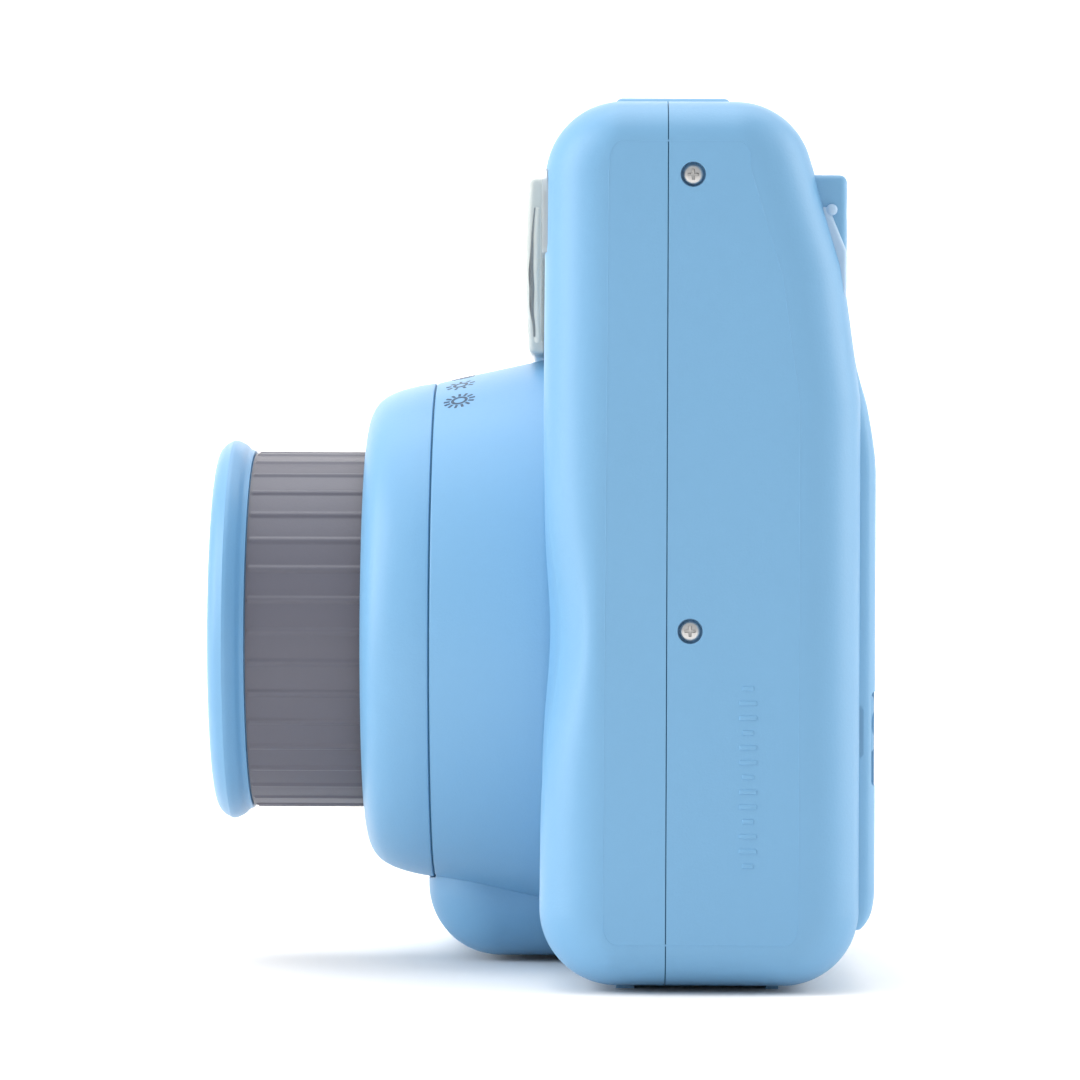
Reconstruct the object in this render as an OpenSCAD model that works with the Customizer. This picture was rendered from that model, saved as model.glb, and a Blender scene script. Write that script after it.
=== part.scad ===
// Instant film camera, portrait format, with an extending lens.
// +Z is up, the lens looks along -Y, the hand grip is on the -X side.
// Origin: middle of the footprint at the height of the table, lens extended.

/* [Case] */
// Width of the case
case_w = 116; // [114:1:120]
// Thickness of the moulded walls
wall = 2; // [1.8:0.1:2.2]
// Radius of the bottom edges
base_r = 10; // [8:0.5:10]
// Radius of the upper front edge
brow_r = 10; // [8:0.5:10]
// Height of the grip
grip_h = 68; // [66:1:70]

/* [Lens] */
// Height of the lens axis above the table
lens_z = 46.2; // [45.5:0.1:47]
// Radius of the lens barrel
barrel_r = 24.6; // [24.3:0.1:24.6]
// How far the barrel slides in
lens_travel = 20.9; // [18:0.1:20.9]
// Number of ridges round the barrel
ridge_count = 36; // [24:1:48]

/* [Film drive] */
// Radius of the two film rollers
roller_r = 3; // [2.8:0.05:3]
// Gap that the film is squeezed through
film_gap = 0.2; // [0.2:0.05:0.4]

/* [Hidden] */
$fn = 64;
half_w = case_w / 2;

// Heights
foot_h = 0.7;
case_top = 115.6;
hood_top = 118;

// Depths, front to back
flange_y = -44.7;
barrel_front = -39.6;
barrel_rear = -6;
dial_front = -23.8;
cone_front = -14.1;
chin_front = -15.3;
front_y = 0.8;
board_y = 13;
baffle_y = 15.3;
split_y = 17.1;
frame_y = 17.8;
back_y = 42.3;
door_back = 44.7;

// Fits
run = 0.05;
gap = 0.3;

// How far the front leans back towards the top
brow_lean = 0.45;

// Side view of the case: depth, height and radius of each rounded corner
CASE_CORNERS = [
  [front_y + base_r, foot_h + base_r, base_r],
  [front_y + brow_lean + brow_r, case_top - brow_r, brow_r],
  [26, case_top - 10, 10],
  [30.1, 92, 10],
  [back_y - 10, 76, 10],
  [back_y - base_r, foot_h + base_r, base_r]];

// Grip and chin
grip_r = 9.5;
grip_in = -34;
chin_end = 8;
chin_top = 24;

// Cone that carries the dial
cone_r0 = 34.5;
cone_r1 = 37.8;
dial_bore = 27;
tube_in = barrel_r + 0.65;
tube_out = 26.6;

// Dent in the front face round the lens
dish_r = 55;
dish_depth = 2.2;

// Flash: left, right, bottom, top
flash_x0 = -22;
flash_x1 = 12;
flash_z0 = 84;
flash_z1 = 109;
flash_y = -2.1;

// Viewfinder
finder_x = 46;
finder_z = 101.2;
finder_w = 12.4;
finder_h = 11;
eyepiece_y = 40.4;

// Buttons
shutter_at = [-46, 79];
shutter_r = 7.4;
shutter_seat = 7;
release_at = [42, 16];
release_r = 5;

// Film door
door_x0 = -37.7;
door_x1 = 50.3;
door_z0 = 8;
door_z1 = 94;
hinge_x = -40.2;
hinge_y = 42.3;
hinge_r = 2;
hinge_pin_r = 0.9;
DOOR_KNUCKLES = [[26, 10], [62, 10]];
CASE_KNUCKLES = [[14, 11.7], [36.3, 25.4], [72.3, 11.7]];
latch_x = 47.3;
latch_z0 = 31;
latch_z1 = 38.5;

// Battery bay
cell_r = 7.1;
cell_len = 50.5;
cell_x = -46.5;
CELL_Y = [-4.6, 9.8];
cell_z = 8.5;
lid_y0 = -5.4;
lid_y1 = 15.3;
lid_z0 = 10.4;
lid_z1 = 58;

// Film chamber
frame_w = 70;
frame_wall = 2.5;
pack_w = 63.5;
image_w = 46;
image_h = 62;
pack_back = 37;

// Film rollers and gears
roller_z = 104;
drive_y = 18.4;
press_y = drive_y + 2 * roller_r + film_gap;
shaft_r = 1.4;
gear_m = 0.5;
roller_teeth = 24;
idler_teeth = 32;
pinion_teeth = 10;
press_teeth = 12;
idler_dir = -66.4;
pinion_dir = -67;
idler_at = [drive_y, roller_z]
  + gear_m * (roller_teeth + idler_teeth) / 2 * [cos(idler_dir), sin(idler_dir)];
pinion_at = idler_at
  + gear_m * (idler_teeth + pinion_teeth) / 2 * [cos(pinion_dir), sin(pinion_dir)];
gear_x = -38.5;
gear_w = 2.5;
press_gear_x = 35.4;

// Counter
counter_x = -47;
counter_y = 35.8;
counter_z = 24;

// Strap pocket on the grip side
pocket_y0 = 22;
pocket_y1 = 36;
pocket_z0 = 52;
pocket_z1 = 62;
pocket_x = -49;
strap_x = -56.4;
strap_r = 1.2;

// Aperture wheel and shutter blade, seen along the lens axis
wheel_drop = 9;
wheel_r = 11.5;
blade_x = 12;
lens_board_y = -31;
lens_spring_x = 21.3;

// Film slot in the top
slot_half = 28.5;
slot_y0 = 20;
slot_y1 = 23.5;
flap_y = 24.4;
flap_z = 114.6;

// Screws: the side ones as [depth, height], the bottom ones as [x, depth]
SIDE_SCREWS = [[20.3, 105.5], [20.1, 46.8]];
BASE_SCREWS = [[-40, 24], [40, 24]];
screw_head_r = 1.35;
screw_recess_r = 1.6;
screw_shank_r = 0.8;
screw_len = 6.2;

// ---- Helpers ----

// A box between two corners
module box(a, b) { translate(a) cube(b - a); }

// Turns a shape drawn in the XY plane so that its Z runs along +Y, at a lens-like axis
module along_y(x, y, z) { translate([x, y, z]) rotate([-90, 0, 0]) children(); }

// Turns a shape drawn in the XY plane so that its X, Y, Z run along +Y, +Z, +X
module along_x(x, y, z) { translate([x, y, z]) rotate([90, 0, 90]) children(); }

// A rod along +Y from y0 to y1
module rod_y(x, z, r, y0, y1) { along_y(x, y0, z) cylinder(r = r, h = y1 - y0); }

// A rod along +X from x0 to x1
module rod_x(y, z, r, x0, x1) { along_x(x0, y, z) cylinder(r = r, h = x1 - x0); }

// Rounded body spanned by balls, each given as [x, y, z, r], all shrunk by t
module ball_hull(balls, t) {
  hull() for (b = balls)
    translate([b[0], b[1], b[2]]) sphere(r = b[3] - t, $fn = 32);
}

// A body of revolution about the lens axis from points [radius, depth]
module lens_turned(points, fn = 96) {
  translate([0, 0, lens_z]) rotate([-90, 0, 0]) rotate_extrude($fn = fn) polygon(points);
}

// Round wire spring along +Z
module coil(r, wire, len, turns) {
  linear_extrude(height = len, twist = -360 * turns, slices = 9 * turns, $fn = 6)
    translate([r, 0]) circle(r = wire, $fn = 6);
}

// Straight-flanked spur gear with one tooth centred on the angle phase
module spur(teeth, m, width, bore, phase) {
  pitch_r = m * teeth / 2;
  step = 360 / teeth;
  tip_r = pitch_r + 0.75 * m;
  root_r = pitch_r - 1.1 * m;
  corners = [[root_r, -0.31], [tip_r, -0.1], [tip_r, 0.1], [root_r, 0.31]];
  difference() {
    linear_extrude(width) polygon([for (i = [0 : teeth - 1], c = corners)
      let (a = phase + (i + c[1]) * step) c[0] * [cos(a), sin(a)]]);
    if (bore > 0) translate([0, 0, -1]) cylinder(r = bore, h = width + 2);
  }
}

// Phase of gear b that meshes with gear a, which lies in direction dir + 180 from b
function mesh_phase(dir, phase_a, teeth_a, teeth_b) =
  dir + 180 + ((dir - phase_a) * teeth_a / 360 + 0.5) * 360 / teeth_b;

idler_phase = mesh_phase(idler_dir, idler_dir, roller_teeth, idler_teeth);
pinion_phase = mesh_phase(pinion_dir, idler_phase, idler_teeth, pinion_teeth);

// ---- Skins of the case, shrunk by t ----

module case_solid(t) {
  ball_hull([for (s = [-1, 1], c = CASE_CORNERS)
    [s * (half_w - c[2]), c[0], c[1], c[2]]], t);
}

// Block with round edges that runs back into the case
module front_block(x0, x1, z1, t) {
  ball_hull([for (x = [x0 + grip_r, x1 - grip_r], y = [chin_front + grip_r, 26],
    z = [foot_h + grip_r, z1 - grip_r]) [x, y, z, grip_r]], t);
}

module cone_solid(t) {
  lens_turned([[0, cone_front + t], [cone_r0 - t, cone_front + t], [cone_r1 - t, front_y],
    [cone_r1 - t, front_y + dish_depth + 0.8 + t], [0, front_y + dish_depth + 0.8 + t]]);
}

module front_skin(t) {
  intersection() {
    box([-100, -60, -10], [100, split_y, 200]);
    union() {
      difference() {
        case_solid(t);
        lens_turned([[0, front_y - 5], [dish_r + 3 + t, front_y - 5],
          [dish_r - 4 + t, front_y + dish_depth * 0.4 + t], [44, front_y + dish_depth + t],
          [0, front_y + dish_depth + t]]);
      }
      front_block(-half_w, grip_in, grip_h, t);
      front_block(-half_w, chin_end, chin_top, t);
      cone_solid(t);
    }
  }
}

// Screw recess and shank hole on the two sides and the base of the rear cover
module rear_screw_places() {
  for (s = [0, 1], p = SIDE_SCREWS) mirror([s, 0, 0])
    translate([half_w, p[0], p[1]]) rotate([0, -90, 0]) children();
  for (p = BASE_SCREWS) translate([p[0], p[1], foot_h]) children();
}

// ---- Case ----

module front_cover() {
  color("#7fb2db") difference() {
    front_skin(0);
    front_skin(wall);
    // Mouth of the cone, and room for the dial in the grip and the chin
    rod_y(0, lens_z, dial_bore, cone_front - 1, cone_front + wall + 1);
    rod_y(0, lens_z, cone_r0 + gap, chin_front - 1, cone_front);
    // Battery opening
    box([-half_w - 1, lid_y0 - 0.2, lid_z0 - 0.2], [-half_w + 4, lid_y1 + 0.2, lid_z1 + 0.2]);
    // Flash, finder and sensor windows
    box([flash_x0, -4, flash_z0], [flash_x1, 5, flash_z1]);
    box([finder_x - finder_w / 2, -1, finder_z - finder_h / 2],
      [finder_x + finder_w / 2, 5, finder_z + finder_h / 2]);
    box([17, -1, 98], [24, 5, 106]);
    rod_y(shutter_at[0], shutter_at[1], shutter_r + gap, -3, 6.1);
    rod_y(release_at[0], release_at[1], release_r + gap, -3, 7);
  }
}

module rear_cover() {
  color("#7fb2db") difference() {
    union() {
      difference() {
        intersection() {
          case_solid(0);
          box([-100, split_y, -10], [100, 100, 200]);
        }
        case_solid(wall);
        // Film door opening
        box([door_x0 - gap, 35, door_z0 - gap], [door_x1 + gap, 60, door_z1 + gap]);
      }
      // Bosses of the screws
      intersection() {
        case_solid(0.5);
        rear_screw_places() cylinder(r = 2.6, h = screw_len + 0.5);
        box([-100, split_y, -10], [100, 100, 200]);
      }
      // Strap pocket
      box([-half_w + 0.4, pocket_y0 - 1.2, pocket_z0 - 1.2],
        [pocket_x + 1.2, pocket_y1 + 1.2, pocket_z1 + 1.2]);
      // Stud of the counter disc
      rod_y(counter_x, counter_z, 1, counter_y - 0.4, back_y - 1);
      for (k = CASE_KNUCKLES) translate([hinge_x, hinge_y, k[0]]) cylinder(r = hinge_r, h = k[1]);
    }
    box([-half_w - 1, pocket_y0, pocket_z0], [pocket_x, pocket_y1, pocket_z1]);
    translate([strap_x, (pocket_y0 + pocket_y1) / 2, pocket_z0 - 0.8])
      cylinder(r = strap_r, h = pocket_z1 - pocket_z0 + 1.6);
    rear_screw_places() {
      translate([0, 0, -1]) cylinder(r = screw_recess_r, h = 2.2);
      cylinder(r = screw_shank_r, h = 12);
    }
    // Hinge pin bore, and room for the knuckles of the door
    translate([hinge_x, hinge_y, 13]) cylinder(r = hinge_pin_r, h = 72);
    for (k = DOOR_KNUCKLES) {
      translate([hinge_x, hinge_y, k[0] - gap])
        cylinder(r = hinge_r + gap, h = k[1] + 2 * gap);
      box([hinge_x, 38, k[0] - gap], [door_x0, 46, k[0] + k[1] + gap]);
    }
    // Eyepiece opening
    box([finder_x - 5, 30, finder_z - 4.5], [finder_x + 5, 45, finder_z + 4.5]);
    // Counter window
    rod_y(counter_x, counter_z - 5, 3, 38, 45);
    // Film slot, with room for the flap and its trunnions
    box([-slot_half, slot_y0 - 0.2, 110], [slot_half, flap_y + 0.8, 120]);
    rod_x(flap_y, flap_z, 0.55, -slot_half - 1.2, slot_half + 1.2);
  }
}

module slot_hood() {
  color("#7fb2db") difference() {
    hull() for (x = [-26, 26], y = [14.2, 22]) translate([x, y, case_top]) {
      cylinder(r = 4, h = 0.8, $fn = 32);
      cylinder(r = 2.4, h = hood_top - case_top, $fn = 32);
    }
    box([-slot_half + 1.5, slot_y0, 115], [slot_half - 1.5, slot_y1, 120]);
  }
}

module slot_flap() {
  flap_half = slot_half - 1.8;
  color("#202226") {
    difference() {
      box([-flap_half, slot_y0 + 0.1, flap_z - 0.35], [flap_half, flap_y, flap_z + 0.35]);
      box([-60, flap_y - 0.55, flap_z - 2], [60, flap_y + 2, flap_z + 2]);
    }
    rod_x(flap_y, flap_z, 0.5, -slot_half - 1, slot_half + 1);
    box([-flap_half, flap_y - 0.6, flap_z - 0.35], [flap_half, flap_y - 0.2, flap_z + 0.35]);
  }
}

module rest_feet() {
  color("#6aa0cb") for (s = [-1, 1]) {
    box([s * 42 - 4, 10.8, 0], [s * 42 + 4, 13.2, foot_h]);
    box([s * 42 - 4, 30.4, 0], [s * 42 + 4, 32, foot_h]);
  }
}

module case_screws() {
  color("silver") rear_screw_places() difference() {
    union() {
      translate([0, 0, 0.3]) cylinder(r = screw_head_r, h = 0.9);
      cylinder(r = screw_shank_r - run, h = screw_len);
    }
    translate([0, 0, -0.1]) cylinder(r = screw_head_r + 1, h = 0.4);
    for (a = [0, 90]) rotate(a) box([-0.9, -0.2, -1], [0.9, 0.2, 0.9]);
  }
}

module strap_bar() {
  color("silver") translate([strap_x, (pocket_y0 + pocket_y1) / 2, pocket_z0 - 0.8])
    cylinder(r = strap_r, h = pocket_z1 - pocket_z0 + 1.6);
}

// ---- Batteries ----

module battery_door() {
  lid_mid = (lid_y0 + lid_y1) / 2;
  color("#7fb2db") difference() {
    union() {
      box([-half_w, lid_y0, lid_z0], [-half_w + wall, lid_y1, lid_z1]);
      // Two ribs inside that bear on the cells
      for (z = [20, 46]) box([-half_w + wall, lid_mid - 6, z], [-half_w + wall + 1, lid_mid + 6, z + 1.5]);
    }
    // Finger ridges are cut as grooves
    for (i = [0 : 4]) box([-half_w - 1, lid_mid - 5, 50 - 1.6 * i], [-half_w + 0.4, lid_mid + 5, 50.8 - 1.6 * i]);
  }
}

module battery_tray() {
  tray_z1 = cell_z + cell_len;
  color("#26282c") {
    box([-39.2, -11, 6.8], [-38.2, 16.8, tray_z1 + 1.7]);
    box([-53.5, -11, 6.8], [-39.2, 16.8, 7.8]);
    box([-53.5, -11, tray_z1 + 0.7], [-39.2, 16.8, tray_z1 + 1.7]);
  }
}

module battery_cells() {
  color("#3c6f58") for (i = [0, 1]) {
    body_z = cell_z + (i == 0 ? 0 : 1.2);
    translate([cell_x, CELL_Y[i], body_z]) cylinder(r = cell_r, h = cell_len - 1.2);
    translate([cell_x, CELL_Y[i], i == 0 ? body_z + cell_len - 1.3 : cell_z])
      cylinder(r = 2.6, h = 1.3);
  }
}

module battery_contacts() {
  color("silver") {
    for (y = CELL_Y) box([cell_x - 5, y - 5, 7.8], [cell_x + 5, y + 5, cell_z]);
    box([cell_x - 5, CELL_Y[0] - 5, cell_z + cell_len],
      [cell_x + 5, CELL_Y[1] + 5, cell_z + cell_len + 0.7]);
  }
}

// ---- Film door ----

// Low cushion shape on the back of the door, shrunk by t
module door_bulge(t, y0, y1) {
  hull() for (x = [door_x0 + 9.7, door_x1 - 8.5], z = [door_z0 + 8.6, 75])
    along_y(x, y0, z) {
      cylinder(r = 8 - t, h = y1 - y0 - 1.6, $fn = 32);
      cylinder(r = 6 - t, h = y1 - y0, $fn = 32);
    }
}

module film_door() {
  color("#7fb2db") difference() {
    union() {
      intersection() {
        difference() {
          case_solid(0);
          case_solid(wall + 0.2);
        }
        box([door_x0, 34, door_z0], [door_x1, 60, door_z1]);
      }
      difference() {
        door_bulge(0, 41, door_back);
        door_bulge(2, 39, door_back - 2);
      }
      for (k = DOOR_KNUCKLES) {
        translate([hinge_x, hinge_y, k[0]]) cylinder(r = hinge_r, h = k[1]);
        box([hinge_x, hinge_y - 1, k[0]], [door_x0 + 0.5, hinge_y + 1, k[0] + k[1]]);
      }
      // Seat of the latch spring
      box([latch_x - 1.8, 37.8, 20.5], [latch_x + 1.8, 41, 22]);
      // Pillar behind the latch pocket
      box([latch_x - 3.6, 40.3, 24], [door_x1, 41.6, 41]);
    }
    translate([hinge_x, hinge_y, 13]) cylinder(r = hinge_pin_r + run, h = 72);
    // Latch pocket, and the slot that its tongue runs in
    box([latch_x - 2.9, 41.6, latch_z0 - 4.4], [door_x1 + 1, 50, latch_z1 + 0.4]);
    box([latch_x - 1.3, 36, latch_z0 - 3.4], [latch_x + 1.3, 50, latch_z1 - 1.1]);
    // Film window
    box([-4, 36, 34], [4, 50, 58]);
  }
}

module film_window() {
  color("#d9a53a") {
    box([-3.8, 42.8, 34.2], [3.8, 44.3, 57.8]);
  }
}

module pressure_pads() {
  pad_end = back_y - wall - 0.3;
  color("#26282c") for (z = [28, 66]) rod_y(-14, z, 4.5, pack_back + 0.2, pad_end);
  color("#26282c") for (z = [28, 66]) rod_y(14, z, 4.5, pack_back + 0.2, pad_end);
}

module door_hinge_pin() {
  color("silver") translate([hinge_x, hinge_y, 14]) cylinder(r = hinge_pin_r, h = 70);
}

module door_latch() {
  color("#6aa0cb") {
    difference() {
      box([latch_x - 2.6, 41.8, latch_z0], [door_x1 - 0.3, 44.1, latch_z1]);
      // Finger scoop
      along_x(40, 46.6, (latch_z0 + latch_z1) / 2) cylinder(r = 3.8, h = 20);
    }
    box([latch_x - 1.1, 39.8, latch_z0 + 1], [latch_x + 1.1, 41.9, latch_z1 - 1.5]);
    box([latch_x - 2, 38.4, latch_z0 + 1], [latch_x + 2, 39.8, latch_z1 - 1.5]);
  }
}

module latch_spring() {
  color("silver") translate([latch_x, 38.85, 22.02]) coil(0.9, 0.2, latch_z0 + 0.96 - 22, 6);
}

module counter_window() {
  color("#cfe3ee") rod_y(counter_x, counter_z - 5, 2.95, 40.6, 42.1);
}

module counter_disc() {
  color("white") difference() {
    rod_y(counter_x, counter_z, 7.2, counter_y, counter_y + 1);
    rod_y(counter_x, counter_z, 1 + run, counter_y - 1, counter_y + 2);
  }
}

// ---- Lens ----

module dial_ring() {
  color("#7fb2db") lens_turned([
    [dial_bore, dial_front + 0.6], [27.6, dial_front], [28.5, dial_front], [30, -23.5],
    [31.3, -22.9], [32.2, -21.9], [32.9, -20.6], [33.4, -19.1], [34, -17.3],
    [34.45, cone_front - gap], [32.4, cone_front - gap], [31.4, -18.4], [29.9, -21.4],
    [28.4, -21.8], [28.4, cone_front - gap], [dial_bore, cone_front - gap]], 128);
}

module lens_tube() {
  color("#303236") lens_turned([
    [tube_in, -18.3], [tube_out, -18.3], [tube_out, -12], [32, -12], [32, -10.5],
    [tube_out, -10.5], [tube_out, baffle_y], [tube_in, baffle_y]]);
}

module light_baffle() {
  color("#202226") difference() {
    union() {
      box([-33, baffle_y, 12], [33, frame_y, 80]);
      box([30, baffle_y, 10], [release_at[0] + 5, frame_y, 22]);
    }
    intersection() {
      rod_y(0, lens_z, 24.5, baffle_y - 1, frame_y + 1);
      box([-20.6, 0, 0], [20.6, 30, 100]);
    }
  }
}

module lens_barrel() {
  color("#696976") {
    lens_turned([[barrel_r - wall, barrel_front], [barrel_r, barrel_front],
      [barrel_r, barrel_rear], [barrel_r - wall, barrel_rear]]);
    for (i = [0 : ridge_count - 1]) translate([0, 0, lens_z])
      rotate([0, i * 360 / ridge_count, 0])
        box([-0.4, barrel_front, barrel_r - 0.5], [0.4, barrel_rear - 2, barrel_r + 0.25]);
  }
}

module lens_flange() {
  color("#7fb2db") lens_turned([[21, -43.6], [22, flange_y], [24.3, flange_y],
    [25.4, -44.2], [26.1, -43.4], [26.45, -42.5], [26.35, -41.6], [25.8, -40.8],
    [24.9, barrel_front], [21, barrel_front]], 128);
}

module lens_bezel() {
  color("#1b1c1f") difference() {
    rod_y(0, lens_z, 20.9, -43.4, -41.4);
    rod_y(0, lens_z, 10, -45, -40);
    rod_y(14.6, lens_z + 4, 4.3, -45, -42.6);
  }
}

module selfie_mirror() {
  color("silver") rod_y(14.6, lens_z + 4, 4.2, -43.5, -42.6);
}

module front_lens() {
  dome = [for (a = [0 : 6 : 30]) [9.9 * sin(a) / sin(30), -42.2 - 1.6 * (cos(a) - cos(30)) / (1 - cos(30))]];
  color("#a9c3cf") lens_turned(concat(dome, [[9.9, -40.5], [0, -40.5]]));
}

module rear_lens() {
  color("#a9c3cf") rod_y(0, lens_z, 5.9, -34, -31.5);
}

module lens_board() {
  pin_end = lens_board_y + 3.6;
  color("#303236") {
    difference() {
      union() {
        rod_y(0, lens_z, barrel_r - wall, lens_board_y, lens_board_y + 1.5);
        rod_y(0, lens_z, 7.2, -34.2, lens_board_y);
      }
      rod_y(0, lens_z, 6, -36, lens_board_y - 0.5);
      rod_y(0, lens_z, 3.2, -36, lens_board_y + 3);
    }
    rod_y(0, lens_z - wheel_drop, 0.8, lens_board_y + 1, pin_end);
    rod_y(blade_x, lens_z, 0.8, lens_board_y + 1, pin_end);
  }
}

// Five holes of growing size, one click of 30 degrees apart, seen through the board
module aperture_wheel() {
  wheel_y = lens_board_y + 1.8;
  color("#55575c") difference() {
    rod_y(0, lens_z - wheel_drop, wheel_r, wheel_y, wheel_y + 0.6);
    rod_y(0, lens_z - wheel_drop, 0.8 + run, wheel_y - 1, wheel_y + 1);
    for (i = [-2 : 2]) translate([0, 0, lens_z - wheel_drop]) rotate([0, 30 * i, 0])
      rod_y(0, wheel_drop, 1.5 + 0.35 * i, wheel_y - 1, wheel_y + 1);
  }
}

module shutter_blade() {
  blade_y = lens_board_y + 2.8;
  color("#1b1c1f") difference() {
    union() {
      rod_y(0, lens_z, 4, blade_y, blade_y + 0.4);
      box([2, blade_y, lens_z - 1.2], [blade_x, blade_y + 0.4, lens_z + 1.2]);
      rod_y(blade_x, lens_z, 2, blade_y, blade_y + 0.4);
    }
    rod_y(blade_x, lens_z, 0.8 + run, blade_y - 1, blade_y + 1);
  }
}

module shutter_solenoid() {
  color("#b7772f") rod_y(13.5, lens_z + 12, 3.2, lens_board_y + 1.5, -18);
}

module lens_springs() {
  spring_y = lens_board_y + 1.5;
  color("silver") for (s = [-1, 1])
    along_y(s * lens_spring_x, spring_y, lens_z) coil(0.85, 0.25, baffle_y - spring_y, 10);
}

// ---- Buttons ----

module shutter_button() {
  color("#7fb2db") {
    lens_like = [[0, -1.6], [5.6, -1.4], [6.9, -0.8], [shutter_r, 0], [shutter_r, 6.2],
      [8, 6.2], [8, shutter_seat], [0, shutter_seat]];
    translate([shutter_at[0], 0, shutter_at[1]]) rotate([-90, 0, 0]) rotate_extrude()
      polygon(lens_like);
  }
}

module shutter_spring() {
  color("silver") along_y(shutter_at[0], shutter_seat, shutter_at[1])
    coil(1.6, 0.3, board_y - shutter_seat, 6);
}

module lens_button() {
  face_y = front_y + 1.4;
  profile = [[0, face_y + 0.5], [3.6, face_y + 0.2], [4.6, face_y], [release_r, face_y + 0.4],
    [release_r, 5.3], [6, 5.3], [6, 6.1], [0, 6.1]];
  color("#7fb2db") translate([release_at[0], 0, release_at[1]]) rotate([-90, 0, 0])
    rotate_extrude() polygon(profile);
}

module lens_button_spring() {
  color("silver") along_y(release_at[0], 6.1, release_at[1])
    coil(1.6, 0.3, baffle_y - 6.1, 6);
}

// ---- Flash, finder and sensor ----

module flash_window() {
  color("#dce8ee") difference() {
    box([flash_x0 + 0.1, flash_y, flash_z0 + 0.1], [flash_x1 - 0.1, front_y + wall, flash_z1 - 0.1]);
    box([flash_x0 + 1.1, flash_y + 1.2, flash_z0 + 1.1], [flash_x1 - 1.1, 8, flash_z1 - 1.1]);
  }
}

module flash_reflector() {
  mid_z = (flash_z0 + flash_z1) / 2;
  half_h = 11.2;
  deep_y = 11.5;
  curve = [for (a = [-80 : 10 : 80]) [deep_y - 1 - 11 * (1 - cos(a)) * 1.05, mid_z + half_h * sin(a) / sin(80) - 0.6 * sin(a)]];
  color("silver") {
    difference() {
      box([flash_x0 + 1.2, flash_y + 1.3, mid_z - half_h], [flash_x1 - 1.2, deep_y, mid_z + half_h]);
      along_x(flash_x0 + 2, 0, 0) linear_extrude(flash_x1 - flash_x0 - 4)
        polygon(concat([[-5, mid_z - half_h + 0.8]], curve, [[-5, mid_z + half_h - 0.8]]));
    }
  }
}

module flash_tube() {
  color("white") rod_x(7.6, (flash_z0 + flash_z1) / 2, 1.5, flash_x0 + 2, flash_x1 - 2);
}

module flash_capacitor() {
  color("#22252c") translate([20.5, 9.05, 80]) cylinder(r = 3.7, h = 29);
}

module finder_window() {
  color("#cfe3ee") box([finder_x - finder_w / 2 + 0.1, front_y, finder_z - finder_h / 2 + 0.1],
    [finder_x + finder_w / 2 - 0.1, front_y + wall - 0.2, finder_z + finder_h / 2 - 0.1]);
}

module finder_tunnel() {
  tunnel_end = 31.8;
  color("#26282c") difference() {
    box([finder_x - 5, front_y + wall + 0.2, finder_z - 4.5], [finder_x + 5, tunnel_end, finder_z + 4.5]);
    box([finder_x - 4, front_y, finder_z - 3.5], [finder_x + 4, tunnel_end + 1, finder_z + 3.5]);
  }
}

module finder_lens() {
  color("#cfe3ee") intersection() {
    box([finder_x - 3.8, 28, finder_z - 3.3], [finder_x + 3.8, 31.8, finder_z + 3.3]);
    rod_y(finder_x, finder_z, 4.8, 28, 31.8);
  }
}

module eyepiece_hood() {
  color("#7fb2db") difference() {
    union() {
      difference() {
        hull() for (x = [finder_x - 5.5, finder_x + 5.5], z = [finder_z - 2.5, finder_z + 2.4])
          along_y(x, 33, z) {
            cylinder(r = 2, h = eyepiece_y - 33, $fn = 32);
            cylinder(r = 2.4, h = eyepiece_y - 34, $fn = 32);
          }
        case_solid(0);
      }
      box([finder_x - 4.8, 32, finder_z - 4.3], [finder_x + 4.8, 38, finder_z + 4.3]);
    }
    box([finder_x - 3.8, 30, finder_z - 3.3], [finder_x + 3.8, 45, finder_z + 3.3]);
  }
}

module sensor_window() {
  color("#2a3036") box([17.1, front_y, 98.1], [23.9, front_y + wall - 0.2, 105.9]);
}

module circuit_board() {
  color("#1f6b45") difference() {
    box([-54, board_y, 76], [34.5, board_y + 1.2, 110]);
    box([-40, 0, 96], [-35, 30, 120]);
    rod_y(-50, 106, 1, 0, 30);
  }
  color("#1b1c1f") for (p = [[-28, 80], [-31, 94], [-50, 92]])
    box([p[0], board_y - 1.6, p[1]], [p[0] + 6, board_y, p[1] + 5]);
}

// ---- Film chamber and drive ----

module film_frame() {
  inner = frame_w / 2 - frame_wall;
  color("#26282c") difference() {
    union() {
      box([-frame_w / 2, frame_y, 3.4], [frame_w / 2, frame_y + 1.9, 97]);
      for (s = [0, 1]) mirror([s, 0, 0]) {
        box([inner, frame_y, 3.4], [frame_w / 2, 34.8, 4.7]);
        box([inner, frame_y, 4.7], [frame_w / 2, 37, 86]);
        box([inner, board_y + 1.2, 86], [frame_w / 2, 28.5, 110]);
      }
      box([-inner, frame_y + 1.9, 3.4], [inner, 34.8, 4.7]);
      // Stud of the idler gear and posts of the motor
      rod_x(idler_at[0], idler_at[1], 1.2, -40, -34);
      for (dy = [-5, 5]) rod_x(pinion_at[0] + dy, pinion_at[1], 1, -41, -34);
    }
    box([-image_w / 2, 10, lens_z - image_h / 2], [image_w / 2, 21, lens_z + image_h / 2]);
    for (y = [drive_y, press_y]) rod_x(y, roller_z, shaft_r + run, -50, 50);
    box([inner - 1, 20.2, 6], [frame_w / 2 + 1, 22.6, 20]);
  }
}

module film_pack() {
  color("#2d2f34") difference() {
    box([-pack_w / 2, frame_y + 2.1, 5], [pack_w / 2, pack_back, 95]);
    box([-image_w / 2, 10, lens_z - image_h / 2], [image_w / 2, frame_y + 2.9, lens_z + image_h / 2]);
    // Notch that the pick arm reaches into
    box([pack_w / 2 - 1.5, 10, 4], [40, 22.8, 19]);
  }
}

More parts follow.
